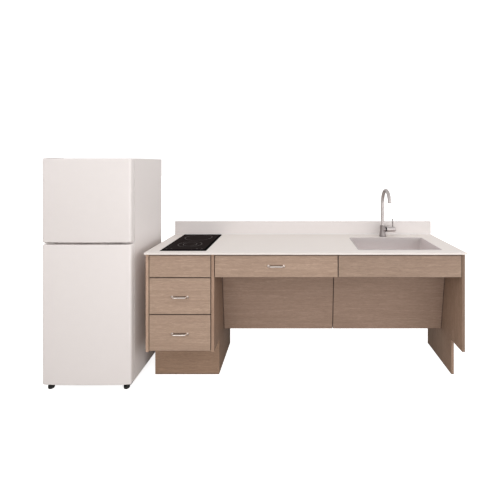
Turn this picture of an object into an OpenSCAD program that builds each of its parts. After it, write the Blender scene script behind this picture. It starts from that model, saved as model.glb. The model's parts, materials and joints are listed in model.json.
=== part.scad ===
// Mini kitchen unit: a counter run with a drawer base, an open knee space, a sink and a
// two-zone hob, and a fridge-freezer that stands beside it.
// Millimetres. Z is up, X runs along the wall to the right, Y runs back to the wall, and the
// origin is on the floor at the middle of the whole unit's outline.

/* [Cabinet run] */
// Width of the run over its two outer panels
run_w = 2134; // [2000:1:2400]
// Depth of the cabinets from the front faces to the wall
run_d = 610; // [590:1:660]
// Height from the floor to the underside of the worktop
carcass_h = 901; // [880:1:940]
// Thickness of the cabinet boards
board_t = 19; // [16:0.5:22]
// Width of the drawer base
base_w = 457; // [430:1:520]
// Height of the toe recess
toe_h = 245; // [200:1:252]
// Depth of the toe recess behind the front faces
toe_d = 163; // [75:1:200]
// Thickness of the back board of the drawer base
back_t = 12; // [6:1:16]
// Height of the rails that stand on edge
rail_h = 76; // [60:1:100]
// Height of the wall rail of the knee section
wall_rail_h = 100; // [90:1:130]
// Depth of the flat front rail of the knee section
front_rail_d = 40; // [30:1:44]
// Spacing across of the wall screws
screw_dx = 812; // [400:1:1200]
// Spacing up of the wall screws
screw_dz = 64; // [30:1:70]
// Radius of the wall screw holes
screw_r = 2.75; // [2:0.25:4]

/* [Fronts] */
// Gap round each front
front_gap = 4; // [2:0.5:6]
// Height of the fixed fronts and the wide drawer front
apron_h = 153; // [146:1:165]
// Height of the drawer stack's lower edge above the floor
stack_z = 252; // [252:1:262]

/* [Worktop] */
// Thickness of the worktop
top_t = 13; // [10:0.5:20]
// Overhang of the worktop past the front faces
top_over_front = 25; // [10:1:29]
// Overhang of the worktop past each side
top_over_side = 3; // [0:0.5:10]
// Height of the backsplash above the worktop
splash_h = 108; // [60:1:150]
// Thickness of the backsplash
splash_t = 13; // [10:0.5:20]

/* [Knee panels] */
// Height of the lower edge of the sloped panels
knee_z = 248; // [200:1:300]
// Distance of their lower edge behind the front faces
knee_set = 332; // [320:1:350]
// Tilt of the panels from upright, in degrees
knee_tilt = 9.2; // [6:0.1:10]
// Rise of the panels and their cleats above the fronts' lower edge
knee_rise = 8; // [2:1:12]
// Gap between the two panels
knee_gap = 3; // [1:0.5:6]
// Width of the cleats behind the panels
cleat_w = 40; // [30:1:60]

/* [Drawers] */
// Depth of the drawer boxes
box_d = 450; // [400:1:480]
// Height of the two stacked drawer boxes
box_h = 180; // [120:1:200]
// Height of the wide drawer box
wide_box_h = 95; // [70:1:100]
// Rise of a stacked drawer box above its front's lower edge
box_lift = 28; // [26:1:36]
// Rise of the wide drawer box above its front's lower edge
wide_box_lift = 22; // [20:1:28]
// Thickness of the drawer box walls
box_side_t = 13; // [12:0.5:16]
// Thickness of the drawer bottoms
box_bottom_t = 6; // [5:0.5:8]
// Rise of the drawer bottoms inside their boxes
box_bottom_lift = 10; // [8:1:14]
// Depth of the groove that holds a drawer bottom
groove_d = 6; // [4:0.5:7]
// Room at each side of a drawer box for its runner
runner_space = 12.7; // [12.5:0.1:14]
// Height of the fixed runner channel
runner_h = 35; // [30:1:45]
// Thickness of the runner steel
runner_t = 1.5; // [1.2:0.1:2]
// Rise of the runner's centre above the drawer box's lower edge
runner_lift = 40; // [30:1:45]

/* [Pulls] */
// Distance between the two posts of a pull
pull_centres = 102; // [96:1:128]
// Diameter of the pull's rod
pull_rod_d = 9; // [7:0.5:9]
// How far a pull stands out from its front
pull_proj = 30; // [29.5:0.5:36]
// Bend radius of a pull's rod
pull_bend_r = 11; // [9:0.5:14]
// Turn of a pull's rod at its bends, in degrees
pull_turn = 65; // [65:1:80]
// Diameter of the foot of a pull's post
pull_foot_d = 16; // [12:0.5:18]
// Height of the foot of a pull's post
pull_foot_h = 4; // [4:0.5:6]
// Distance of a pull below the middle of its front
pull_drop = 4; // [0:1:10]

/* [Hob] */
// Width of the hob glass
hob_w = 315; // [300:1:330]
// Length of the hob glass from front to back
hob_l = 540; // [520:1:545]
// Rise of the hob glass above the worktop
hob_t = 6.5; // [4:0.5:8]
// Width of the bevel round the hob glass
hob_bevel = 9; // [4:0.5:12]
// Distance of the hob glass behind the front faces
hob_set = 28; // [26:1:32]
// Shift of the hob to the right of the drawer base's middle
hob_shift = 10; // [-20:1:30]
// Distance of the hob case inside the edge of the glass
case_inset = 18; // [16:0.5:24]
// Depth of the hob case below the worktop's top
case_h = 52; // [40:1:60]
// Wall thickness of the hob case
case_t = 1.5; // [1:0.1:2]
// Radius of the front radiant element
front_element_r = 84; // [80:1:100]
// Middle of the front element, back from the hob's front edge
front_element_in = 173; // [150:1:190]
// Radius of the rear radiant element
rear_element_r = 76; // [60:1:90]
// Middle of the rear element, back from the hob's front edge
rear_element_in = 427; // [400:1:430]
// Height of the radiant elements
element_h = 26; // [20:1:30]

/* [Sink] */
// Width of the sink opening
bowl_w = 564; // [480:1:580]
// Length of the sink opening from front to back
bowl_l = 386; // [350:1:390]
// Depth of the bowl below the worktop's top
bowl_h = 150; // [120:1:155]
// Corner radius of the bowl
bowl_r = 14; // [8:1:30]
// Thickness of the sink steel
sink_t = 1.2; // [1:0.1:1.6]
// Width of the rim round the bowl
rim_w = 9; // [8:0.5:14]
// Rise of the rim above the worktop
rim_h = 2; // [1.5:0.25:3]
// Distance of the bowl from the run's right end
bowl_end_gap = 131; // [90:1:160]
// Distance of the bowl behind the front faces
bowl_set = 61; // [61:0.5:66]
// Distance of the drain in front of the bowl's rear edge
drain_set = 75; // [70:1:82]
// Radius of the drain opening
drain_r = 45; // [44:0.5:46]

/* [Drain] */
// Inner radius of the strainer cup
cup_r = 41; // [40:0.5:42]
// Depth of the strainer cup
cup_h = 52; // [45:1:60]
// Radius of the drain pipes
pipe_r = 19; // [16:0.5:20]
// Drop from the bowl to the middle of the trap's bend
trap_drop = 205; // [190:1:230]
// Radius of the trap's bend
trap_r = 50; // [45:1:55]
// Rise from the trap's bend to the wall pipe
trap_rise = 95; // [90:1:110]
// Radius of the elbow to the wall pipe
elbow_r = 40; // [35:1:44]
// Radius of the drain's coupling nuts
coupling_r = 27; // [24:0.5:30]
// Height of the drain's coupling nuts
coupling_h = 22; // [18:1:26]

/* [Tap] */
// Distance of the tap behind the sink opening
tap_set = 68; // [66:1:72]
// Shift of the tap from the middle of the sink
tap_shift = -8; // [-20:1:20]
// Radius of the tap's foot
tap_foot_r = 28; // [25:0.5:30]
// Radius of the tap's body at its top
tap_neck_r = 20; // [18:0.5:22]
// Height of the tap's body
tap_body_h = 89; // [84:1:100]
// Height of the side hub's middle above the worktop
hub_z = 57; // [54:1:62]
// Radius of the side hub
hub_r = 22.5; // [21:0.5:24]
// Reach of the side hub from the tap's middle
hub_reach = 21; // [20:0.5:24]
// Radius of the handle barrel
barrel_r = 21.5; // [20:0.5:23]
// Start of the handle barrel from the tap's middle
barrel_start = 32; // [31:0.5:36]
// Length of the handle barrel
barrel_l = 69; // [60:1:80]
// Distance of the pin lever from the tap's middle
lever_x = 82; // [70:1:90]
// Radius of the pin lever
lever_r = 4.5; // [3.5:0.25:6]
// Height of the lever's tip above the worktop
lever_top = 143; // [120:1:160]
// Radius of the spout tube
spout_r = 13; // [11:0.5:14]
// Bend radius of the spout
spout_bend_r = 107; // [90:1:120]
// Height of the middle of the spout's bend above the worktop
spout_rise = 273; // [220:1:320]
// Turn of the spout's bend, in degrees
spout_turn = 165; // [150:1:180]
// Length of the aerator
aerator_h = 8; // [6:0.5:12]
// Radius of the cartridge
cartridge_r = 18; // [16:0.5:19]
// Radius of the handle's ball joint
ball_r = 7.7; // [6:0.1:8]
// Radius of the handle's stem
stem_r = 4.5; // [4:0.5:5]
// Radius of the threaded shank below the worktop
shank_r = 16; // [14:0.5:17]
// Length of the shank below the worktop's top
shank_l = 58; // [50:1:70]
// Radius of the inlet tails
tail_r = 5; // [4:0.25:6]
// Length of the inlet tails below the shank
tail_l = 70; // [50:1:90]

/* [Fridge] */
// Gap between the fridge and the run
fridge_gap = 89; // [60:1:200]
// Width of the fridge
fridge_w = 590; // [540:1:620]
// Height of the fridge cabinet's top
fridge_h = 1539; // [1450:1:1650]
// Height of the cabinet's underside
fridge_z = 36; // [34:1:45]
// How far the door fronts stand out past the cabinet faces
fridge_proud = 28; // [20:1:29]
// Distance of the fridge's back in front of the wall
fridge_back_gap = 89; // [60:1:110]
// Thickness of the doors at their middle
door_t = 54; // [50:1:60]
// Bow of the door fronts
door_bow = 7; // [3:0.5:9]
// Radius of the doors' upright front edges
door_edge_r = 15; // [10:0.5:18]
// Height of the lower edge of the fridge door
door_z = 38; // [37:0.5:45]
// Height of the upper edge of the fridge door
door_split_z = 967; // [900:1:1000]
// Gap between the two doors
door_gap = 14; // [12:0.5:18]
// Thickness of the door skins
skin_t = 1.5; // [1:0.1:2]
// Thickness of the compressed door gaskets
gasket_t = 5.7; // [5:0.1:8]
// Width of the door gaskets
gasket_w = 14; // [10:0.5:16]
// Thickness of the cabinet's insulated walls
wall_t = 38; // [36:1:45]
// Height of the insulated divider between the compartments
mullion_h = 68; // [64:1:80]
// Thickness of the inner liners
liner_t = 2; // [1.5:0.1:2.5]
// Depth of the compressor bay
bay_d = 190; // [180:1:200]
// Height of the compressor bay
bay_h = 200; // [190:1:220]
// Distance of the hinge axis from the hinge side
pivot_x_in = 16; // [15:0.5:18]
// Distance of the hinge axis in front of a door's rear face
pivot_y_in = 24; // [23:0.5:25]
// Radius of the hinge pins
pivot_r = 4; // [3:0.25:5]
// Running clearance of the hinge pins
pivot_fit = 0.05; // [0.02:0.01:0.1]
// Length of a hinge pin inside its door
pivot_l = 13; // [10:0.5:16]
// Thickness of the hinge plates
hinge_t = 3; // [2.5:0.1:4]
// Width of the grip pockets in the door edges
grip_w = 130; // [100:1:160]
// Depth of the grip pockets
grip_h = 22; // [18:1:28]
// Opening of the grip pockets from front to back
grip_l = 24; // [22:1:26]
// Radius of the front feet
foot_r = 20; // [16:0.5:22]
// Reach of the door bins into the compartments
bin_reach = 72; // [60:1:80]
// Height of the fridge door's bins
bin_h = 90; // [60:1:110]
// Height of the crisper drawer
crisper_h = 165; // [130:1:170]
// Number of condenser tube runs
condenser_runs = 10; // [6:2:12]
// Radius of the condenser tube
condenser_r = 2.5; // [2:0.25:3]

/* [Hidden] */
$fn = 48;

// Colours
oak = [0.66, 0.56, 0.49];
oak_shade = [0.53, 0.43, 0.36];
birch = [0.82, 0.75, 0.64];
solid_white = [0.90, 0.87, 0.85];
fridge_white = [0.91, 0.89, 0.88];
liner_white = [0.95, 0.95, 0.94];
steel = [0.74, 0.70, 0.69];
zinc = [0.66, 0.67, 0.68];
black = [0.05, 0.05, 0.05];
clear_plastic = [0.85, 0.90, 0.92];

// Clearances
run_fit = 0.3;
glue = 0.1;
cut = 1;

// Overall places
top_z = carcass_h + top_t;
reach_front = max(pull_proj, top_over_front, fridge_proud);
wall_y = (run_d + reach_front) / 2;
face_y = wall_y - run_d;
front_back_y = face_y + board_t;
total_w = fridge_w + fridge_gap + run_w + top_over_side;
fridge_x0 = -total_w / 2;
fridge_x1 = fridge_x0 + fridge_w;
run_x0 = fridge_x1 + fridge_gap;
run_x1 = run_x0 + run_w;
base_x1 = run_x0 + base_w;
open_x1 = run_x1 - board_t;
mid_x = (base_x1 + open_x1) / 2;

// Fronts
front_top = carcass_h - front_gap;
apron_z = front_top - apron_h;
drawer_front_h = (apron_z - stack_z - 2 * front_gap) / 2;
upper_z = stack_z + drawer_front_h + front_gap;
base_front_x0 = run_x0 + board_t + front_gap;
base_front_x1 = base_x1 - board_t - front_gap;
wide_front_x0 = base_x1 + front_gap;
wide_front_x1 = mid_x - front_gap / 2;
sink_front_x0 = mid_x + front_gap / 2;
sink_front_x1 = open_x1 - front_gap;

// Carcass
back_y = wall_y - board_t - back_t;
plinth_y = face_y + toe_d;
divider_x0 = mid_x - board_t / 2;
divider_x1 = mid_x + board_t / 2;
divider_z = apron_z + knee_rise + glue;
knee_l = (apron_z + knee_rise - knee_z - 2 * board_t * sin(knee_tilt)) / cos(knee_tilt);

// Runner profile, from the cabinet wall towards the drawer box
lip_w = 5;
lip_y = runner_h / 2 - lip_w;
channel_w = runner_space - runner_t - 1.8;
slide_h = lip_y - run_fit;
slide_reach = runner_t + 1.5;

// Hob
hob_x = (run_x0 + base_x1) / 2 + hob_shift;
hob_x0 = hob_x - hob_w / 2;
hob_x1 = hob_x + hob_w / 2;
hob_y0 = face_y + hob_set;
hob_y1 = hob_y0 + hob_l;
cutout_gap = 5;
sink_cut_gap = 3;

// Sink and drain
bowl_x1 = run_x1 - bowl_end_gap;
bowl_x0 = bowl_x1 - bowl_w;
bowl_x = (bowl_x0 + bowl_x1) / 2;
bowl_y0 = face_y + bowl_set;
bowl_y1 = bowl_y0 + bowl_l;
bowl_floor_z = top_z - bowl_h;
drain_y = bowl_y1 - drain_set;
cup_t = 2;
cup_floor_z = bowl_floor_z - cup_h;
trap_z = bowl_floor_z - trap_drop;
trap_y = drain_y + trap_r;
arm_z = trap_z + trap_rise;
riser_y = drain_y + 2 * trap_r;

// Tap
tap_x = bowl_x + tap_shift;
tap_y = bowl_y1 + tap_set;
hub_mid_z = top_z + hub_z;
spout_z = top_z + spout_rise;
spout_y = tap_y - spout_bend_r;
spigot_r = 9;
spigot_l = 12;
ball_x = hub_reach - 3;
cartridge_l = 12;
cap_r = hub_r - 1.5;
cap_x = hub_reach + 1.3;
cap_l = 2.7;
cap_nose_l = 5.5;
cap_nose_r = 12;

// Fridge
door_y0 = face_y - fridge_proud;
door_back_y = door_y0 + door_t;
cab_y0 = door_back_y + gasket_t + run_fit;
cab_y1 = wall_y - fridge_back_gap;
door_top_z = fridge_h - 1;
freezer_z = door_split_z + door_gap;
split_mid_z = door_split_z + door_gap / 2;
mullion_z0 = split_mid_z - mullion_h / 2;
mullion_z1 = split_mid_z + mullion_h / 2;
fresh_z0 = fridge_z + wall_t + 7;
freezer_z1 = fridge_h - wall_t;
fresh_x0 = fridge_x0 + wall_t;
fresh_x1 = fridge_x1 - wall_t;
bay_y = cab_y1 - bay_d;
bay_z = fridge_z + bay_h;
step_y = bay_y - wall_t;
step_z = bay_z + wall_t;
cold_y1 = cab_y1 - wall_t;
pivot_x = fridge_x0 + pivot_x_in;
pivot_y = door_back_y - pivot_y_in;
gasket_in = pivot_x_in + 1;
bin_y1 = door_back_y + bin_reach;
bin_x0 = fridge_x0 + wall_t + 22;
bin_x1 = fridge_x1 - wall_t - 24;
shelf_front_y = bin_y1 + 16;

// Fridge interior
shelf_levels = [step_z + 60, step_z + 270, step_z + 460];
freezer_shelf_z = mullion_z1 + 230;
evaporator_l = 60;
freezer_shelf_y1 = cold_y1 - evaporator_l - 24;
crisper_grip_w = 120;
ledge_w = 8;
ledge_h = 5;
control_y = shelf_front_y + 10;
control_w = 170;
control_h = 42;
control_l = 85;
knob_r = 17;
knob_l = 11;
knob_flange_t = 3;
knob_grip_t = 5;
knob_axle_l = 11;

// Door interiors
grip_x1 = fridge_x1 - 34;
grip_y0 = door_y0 + 18;
dyke_t = 10;
dyke_gap = 20;
dyke_slope = 40;
fresh_dyke_z0 = fresh_z0 + liner_t + dyke_gap;
fresh_dyke_z1 = mullion_z0 - liner_t - control_h - 16;
freezer_dyke_z0 = mullion_z1 + liner_t + dyke_gap;
freezer_dyke_z1 = freezer_z1 - liner_t - dyke_gap;
bins_pitch = (fresh_dyke_z1 - fresh_dyke_z0 - bin_h - 70) / 2;
fresh_bins_z = [for (k = [0 : 2]) fresh_dyke_z0 + 24 + k * bins_pitch];
tray_h = 60;
tray_t = 4;
freezer_trays_z = [freezer_dyke_z0 + 16, freezer_dyke_z0 + 236];

// Hinge plates and feet
plate_x0 = fridge_x0 + 4;
plate_y0 = pivot_y - 10;
plate_y1 = cab_y0 + 60;
plate_l = 70;
foot_y = door_y0 + 20 + foot_r;
foot_in = 42;
foot_taper = 3;
foot_taper_h = 6;
foot_pad_z = 20;
foot_stem_r = 8;

// Shared shapes

module slab(x0, x1, y0, y1, z0, z1) {
    translate([x0, y0, z0]) cube([x1 - x0, y1 - y0, z1 - z0]);
}

// Extrudes a (Y, Z) outline along X.
module along_x(x0, x1) {
    translate([x0, 0, 0]) rotate([90, 0, 90]) linear_extrude(height = x1 - x0) children();
}

// Extrudes an (X, Z) outline along Y.
module along_y(y0, y1) {
    translate([0, y1, 0]) rotate([90, 0, 0]) linear_extrude(height = y1 - y0) children();
}

function arc_points(x, y, r, start, sweep, steps = 8) =
    [for (i = [0 : steps]) [x + r * cos(start + sweep * i / steps), y + r * sin(start + sweep * i / steps)]];

function round_box_points(x0, x1, y0, y1, r) = concat(
    arc_points(x1 - r, y1 - r, r, 0, 90),
    arc_points(x0 + r, y1 - r, r, 90, 90),
    arc_points(x0 + r, y0 + r, r, 180, 90),
    arc_points(x1 - r, y0 + r, r, 270, 90)
);

// A tube with its axis along Y, from y0 to y1.
module rod_y(x, z, r, y0, y1) {
    translate([x, y1, z]) rotate([90, 0, 0]) cylinder(r = r, h = y1 - y0);
}

// A tube with its axis along X, from x0 to x1.
module rod_x(y, z, r, x0, x1) {
    translate([x0, y, z]) rotate([0, 90, 0]) cylinder(r = r, h = x1 - x0);
}

// Worktop and backsplash

module worktop() {
    color(solid_white) difference() {
        slab(run_x0 - top_over_side, run_x1 + top_over_side, face_y - top_over_front, wall_y, carcass_h, top_z);
        slab(hob_x0 + case_inset - cutout_gap, hob_x1 - case_inset + cutout_gap,
             hob_y0 + case_inset - cutout_gap, hob_y1 - case_inset + cutout_gap,
             carcass_h - cut, top_z + cut);
        translate([0, 0, carcass_h - cut]) linear_extrude(height = top_t + 2 * cut)
            polygon(round_box_points(bowl_x0 - sink_cut_gap, bowl_x1 + sink_cut_gap,
                                     bowl_y0 - sink_cut_gap, bowl_y1 + sink_cut_gap, bowl_r + sink_cut_gap));
        translate([tap_x, tap_y, carcass_h - cut]) cylinder(r = shank_r + 1.5, h = top_t + 2 * cut);
    }
}

module backsplash() {
    color(solid_white)
        slab(run_x0 - top_over_side, run_x1 + top_over_side, wall_y - splash_t, wall_y, top_z, top_z + splash_h);
}

// Drawer base and knee section

// A full-depth side board with its toe notch.
module side_board(x, notch) {
    along_x(x, x + board_t) polygon([
        [face_y, toe_h], [face_y, carcass_h], [wall_y, carcass_h],
        [wall_y, 0], [face_y + notch, 0], [face_y + notch, toe_h]
    ]);
}

module base_left_side() {
    color(oak) side_board(run_x0, toe_d + board_t);
}

module base_right_side() {
    color(oak) side_board(base_x1 - board_t, toe_d + board_t);
}

module base_floor() {
    color(birch)
        slab(run_x0 + board_t, base_x1 - board_t, front_back_y + 2, back_y, toe_h, toe_h + board_t);
}

module base_back() {
    color(birch) slab(run_x0 + board_t, base_x1 - board_t, back_y, back_y + back_t, toe_h, carcass_h);
}

module base_rails() {
    color(birch) {
        slab(run_x0 + board_t, base_x1 - board_t, front_back_y, front_back_y + board_t,
             carcass_h - rail_h, carcass_h);
        slab(run_x0 + board_t, base_x1 - board_t, wall_y - board_t, wall_y,
             carcass_h - wall_rail_h, carcass_h);
    }
}

module hob_false_front() {
    color(oak) slab(base_front_x0, base_front_x1, face_y, front_back_y, apron_z, front_top);
}

module plinth_board() {
    color(oak_shade) slab(run_x0, base_x1, plinth_y, plinth_y + board_t, 0, toe_h);
}

module end_panel() {
    color(oak) side_board(open_x1, toe_d);
}

module sink_false_front() {
    color(oak) slab(sink_front_x0, sink_front_x1, face_y, front_back_y, apron_z, front_top);
}

module apron_rails() {
    rail_z = carcass_h - wall_rail_h / 2;
    color(birch) {
        slab(base_x1, open_x1, front_back_y, front_back_y + front_rail_d, carcass_h - board_t, carcass_h);
        difference() {
            slab(base_x1, open_x1, wall_y - board_t, wall_y, carcass_h - wall_rail_h, carcass_h);
            for (sx = [-1, 1], sz = [-1, 1])
                rod_y(mid_x + sx * screw_dx / 2, rail_z + sz * screw_dz / 2, screw_r,
                      wall_y - board_t - cut, wall_y + cut);
        }
    }
}

module apron_divider() {
    color(birch) along_x(divider_x0, divider_x1) polygon([
        [front_back_y, divider_z], [front_back_y, carcass_h - board_t],
        [front_back_y + front_rail_d, carcass_h - board_t], [front_back_y + front_rail_d, carcass_h],
        [wall_y - board_t, carcass_h], [wall_y - board_t, divider_z]
    ]);
}

// Places a child board in the plane of the sloped knee panels.
module on_knee_slope() {
    translate([0, face_y + knee_set, knee_z]) rotate([knee_tilt, 0, 0]) children();
}

module knee_panels() {
    color(oak_shade) on_knee_slope() {
        slab(base_x1, mid_x - knee_gap / 2, 0, board_t, 0, knee_l);
        slab(mid_x + knee_gap / 2, open_x1, 0, board_t, 0, knee_l);
    }
}

module knee_panel_cleats() {
    color(birch) on_knee_slope() {
        slab(base_x1, base_x1 + cleat_w, board_t, 2 * board_t, 0, knee_l);
        slab(mid_x - cleat_w, mid_x + cleat_w, board_t, 2 * board_t, 0, knee_l);
        slab(open_x1 - cleat_w, open_x1, board_t, 2 * board_t, 0, knee_l);
    }
}

// Runners

// The fixed channel's (X, Z) outline, with its web at X = 0.
module channel_outline() {
    h = runner_h / 2;
    polygon([
        [0, -h], [channel_w, -h], [channel_w, -lip_y], [channel_w - runner_t, -lip_y],
        [channel_w - runner_t, runner_t - h], [runner_t, runner_t - h],
        [runner_t, h - runner_t], [channel_w - runner_t, h - runner_t],
        [channel_w - runner_t, lip_y], [channel_w, lip_y], [channel_w, h], [0, h]
    ]);
}

// The drawer slide's outline, with its web against the drawer box.
module slide_outline() {
    w = runner_space;
    polygon([
        [slide_reach, -slide_h], [w, -slide_h], [w, slide_h], [slide_reach, slide_h],
        [slide_reach, slide_h - runner_t], [w - runner_t, slide_h - runner_t],
        [w - runner_t, runner_t - slide_h], [slide_reach, runner_t - slide_h]
    ]);
}

// A pair of runner members between the cabinet walls at x0 and x1.
module runner_pair(x0, x1, box_z) {
    for (side = [0, 1])
        translate([side == 0 ? x0 : x1, 0, box_z + runner_lift]) mirror([side, 0, 0])
            along_y(front_back_y, front_back_y + box_d) children();
}

module stacked_runner(front_z) {
    runner_pair(run_x0 + board_t, base_x1 - board_t, front_z + box_lift) children();
}

module wide_runner() {
    runner_pair(base_x1, divider_x0, apron_z + wide_box_lift) children();
}

module runner_channels() {
    color(zinc) {
        stacked_runner(stack_z) channel_outline();
        stacked_runner(upper_z) channel_outline();
        wide_runner() channel_outline();
    }
}

// Drawers

// A drawer box of four boards and a bottom that sits in their grooves.
module drawer_box(wall_x0, wall_x1, z, h) {
    x0 = wall_x0 + runner_space;
    x1 = wall_x1 - runner_space;
    y0 = front_back_y;
    y1 = front_back_y + box_d;
    bottom_z = z + box_bottom_lift;
    inner_x0 = x0 + box_side_t;
    inner_x1 = x1 - box_side_t;
    color(birch) {
        difference() {
            slab(x0, inner_x0, y0, y1, z, z + h);
            slab(inner_x0 - groove_d, inner_x0 + cut, y0 - cut, y1 + cut,
                 bottom_z, bottom_z + box_bottom_t);
        }
        difference() {
            slab(inner_x1, x1, y0, y1, z, z + h);
            slab(inner_x1 - cut, inner_x1 + groove_d, y0 - cut, y1 + cut,
                 bottom_z, bottom_z + box_bottom_t);
        }
        slab(inner_x0 + glue, inner_x1 - glue, y0, y0 + box_side_t, bottom_z + box_bottom_t + glue, z + h);
        slab(inner_x0 + glue, inner_x1 - glue, y1 - box_side_t, y1, bottom_z + box_bottom_t + glue, z + h);
        slab(inner_x0 - groove_d + glue, inner_x1 + groove_d - glue, y0, y1,
             bottom_z + glue, bottom_z + box_bottom_t - glue);
    }
}

module stacked_box(front_z) {
    drawer_box(run_x0 + board_t, base_x1 - board_t, front_z + box_lift, box_h);
}

// A bent-rod pull with splayed posts, centred at (x, z); each post ends inside its foot.
module pull(x, z) {
    r = pull_rod_d / 2;
    reach = pull_proj - r;
    bend_x = pull_bend_r * sin(pull_turn);
    bend_y = pull_bend_r * (1 - cos(pull_turn));
    post_l = (reach - bend_y - pull_foot_h / 2) / sin(pull_turn);
    bar_x = pull_centres / 2 - bend_x - post_l * cos(pull_turn);
    color(steel) translate([x, face_y, z]) {
        rod_x(-reach, 0, r, -bar_x, bar_x);
        for (side = [0, 1]) mirror([side, 0, 0]) {
            translate([bar_x, pull_bend_r - reach, 0]) rotate([0, 0, -90])
                rotate_extrude(angle = pull_turn) translate([pull_bend_r, 0]) circle(r = r);
            translate([bar_x + bend_x, bend_y - reach, 0]) rotate([0, 0, pull_turn]) rotate([0, 90, 0])
                translate([0, 0, -cut]) cylinder(r = r - glue, h = post_l + cut);
            rod_y(pull_centres / 2, 0, pull_foot_d / 2, -pull_foot_h, 0);
        }
    }
}

module upper_drawer_front() {
    color(oak) slab(base_front_x0, base_front_x1, face_y, front_back_y, upper_z, upper_z + drawer_front_h);
}

module upper_drawer_box() {
    stacked_box(upper_z);
}

module upper_drawer_pull() {
    pull((base_front_x0 + base_front_x1) / 2, upper_z + drawer_front_h / 2 - pull_drop);
}

module upper_drawer_slides() {
    color(zinc) stacked_runner(upper_z) slide_outline();
}

module lower_drawer_front() {
    color(oak) slab(base_front_x0, base_front_x1, face_y, front_back_y, stack_z, stack_z + drawer_front_h);
}

module lower_drawer_box() {
    stacked_box(stack_z);
}

module lower_drawer_pull() {
    pull((base_front_x0 + base_front_x1) / 2, stack_z + drawer_front_h / 2 - pull_drop);
}

module lower_drawer_slides() {
    color(zinc) stacked_runner(stack_z) slide_outline();
}

module apron_drawer_front() {
    color(oak) slab(wide_front_x0, wide_front_x1, face_y, front_back_y, apron_z, front_top);
}

module apron_drawer_box() {
    drawer_box(base_x1, divider_x0, apron_z + wide_box_lift, wide_box_h);
}

module apron_drawer_pull() {
    pull((wide_front_x0 + wide_front_x1) / 2, (apron_z + front_top) / 2);
}

module apron_drawer_slides() {
    color(zinc) wide_runner() slide_outline();
}

// Hob

// A plate with all four edges bevelled by b over its height.
module bevelled_plate(x0, x1, y0, y1, z0, z1, b) {
    intersection() {
        along_y(y0, y1) polygon([[x0, z0], [x1, z0], [x1 - b, z1], [x0 + b, z1]]);
        along_x(x0, x1) polygon([[y0, z0], [y1, z0], [y1 - b, z1], [y0 + b, z1]]);
    }
}

module hob_glass() {
    color(black) bevelled_plate(hob_x0, hob_x1, hob_y0, hob_y1, top_z, top_z + hob_t, hob_bevel);
}

module hob_case() {
    x0 = hob_x0 + case_inset;
    x1 = hob_x1 - case_inset;
    y0 = hob_y0 + case_inset;
    y1 = hob_y1 - case_inset;
    color(zinc) difference() {
        slab(x0, x1, y0, y1, top_z - case_h, top_z);
        slab(x0 + case_t, x1 - case_t, y0 + case_t, y1 - case_t, top_z - case_h + case_t, top_z + cut);
    }
}

module hob_elements() {
    floor_z = top_z - case_h + case_t;
    for (e = [[front_element_in, front_element_r], [rear_element_in, rear_element_r]])
        translate([hob_x, hob_y0 + e[0], floor_z]) {
            color(liner_white) difference() {
                cylinder(r = e[1], h = element_h);
                translate([0, 0, 4]) cylinder(r = e[1] - 8, h = element_h);
            }
            color(zinc) for (k = [1 : 4]) translate([0, 0, 4 + glue]) difference() {
                cylinder(r = (e[1] - 12) * k / 4, h = 5);
                translate([0, 0, -cut]) cylinder(r = (e[1] - 12) * k / 4 - 4, h = 5 + 2 * cut);
            }
        }
}

// Sink, strainer and drain

// The outline of a trough from a0 to a1, with rounded lower corners.
function trough_points(a0, a1, z0, z1, r) = concat(
    arc_points(a0 + r, z0 + r, r, 180, 90),
    arc_points(a1 - r, z0 + r, r, 270, 90),
    [[a1, z1], [a0, z1]]
);

// A tub with rounded corners and bottom edges, from its floor to above its rim.
module tub(x0, x1, y0, y1, z0, z1, r) {
    intersection() {
        translate([0, 0, z0]) linear_extrude(height = z1 - z0) polygon(round_box_points(x0, x1, y0, y1, r));
        along_x(x0 - cut, x1 + cut) polygon(trough_points(y0, y1, z0, z1 + cut, r));
        along_y(y0 - cut, y1 + cut) polygon(trough_points(x0, x1, z0, z1 + cut, r));
    }
}

// The sink's flat rim with its eased upper edge.
module sink_rim() {
    x0 = bowl_x0 - rim_w;
    x1 = bowl_x1 + rim_w;
    y0 = bowl_y0 - rim_w;
    y1 = bowl_y1 + rim_w;
    intersection() {
        bevelled_plate(x0, x1, y0, y1, top_z, top_z + rim_h, rim_h);
        translate([0, 0, top_z - cut]) linear_extrude(height = rim_h + 2 * cut)
            polygon(round_box_points(x0, x1, y0, y1, bowl_r + rim_w));
    }
}

module sink_bowl() {
    color(steel) difference() {
        union() {
            tub(bowl_x0 - sink_t, bowl_x1 + sink_t, bowl_y0 - sink_t, bowl_y1 + sink_t,
                bowl_floor_z - sink_t, top_z + rim_h, bowl_r + sink_t);
            sink_rim();
        }
        tub(bowl_x0, bowl_x1, bowl_y0, bowl_y1, bowl_floor_z, top_z + rim_h + cut, bowl_r);
        translate([bowl_x, drain_y, bowl_floor_z - 2 * cut]) cylinder(r = drain_r, h = 4 * cut);
    }
}

module sink_strainer() {
    flange_r = drain_r + 10;
    flange_t = 1.5;
    nut_r = drain_r + 9;
    nut_h = 10;
    bore_r = pipe_r - 3;
    wall_r = cup_r + cup_t;
    nut_z = bowl_floor_z - sink_t - glue;
    seat_z = bowl_floor_z + glue;
    color(steel) translate([bowl_x, drain_y, 0]) rotate_extrude($fn = 64) {
        polygon([
            [bore_r, cup_floor_z - cup_t], [wall_r, cup_floor_z - cup_t], [wall_r, seat_z],
            [flange_r, seat_z], [flange_r, seat_z + flange_t],
            [cup_r, seat_z + flange_t], [cup_r, cup_floor_z], [bore_r, cup_floor_z]
        ]);
        polygon([
            [wall_r + glue, nut_z - nut_h], [nut_r, nut_z - nut_h], [nut_r, nut_z], [wall_r + glue, nut_z]
        ]);
    }
}

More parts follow.
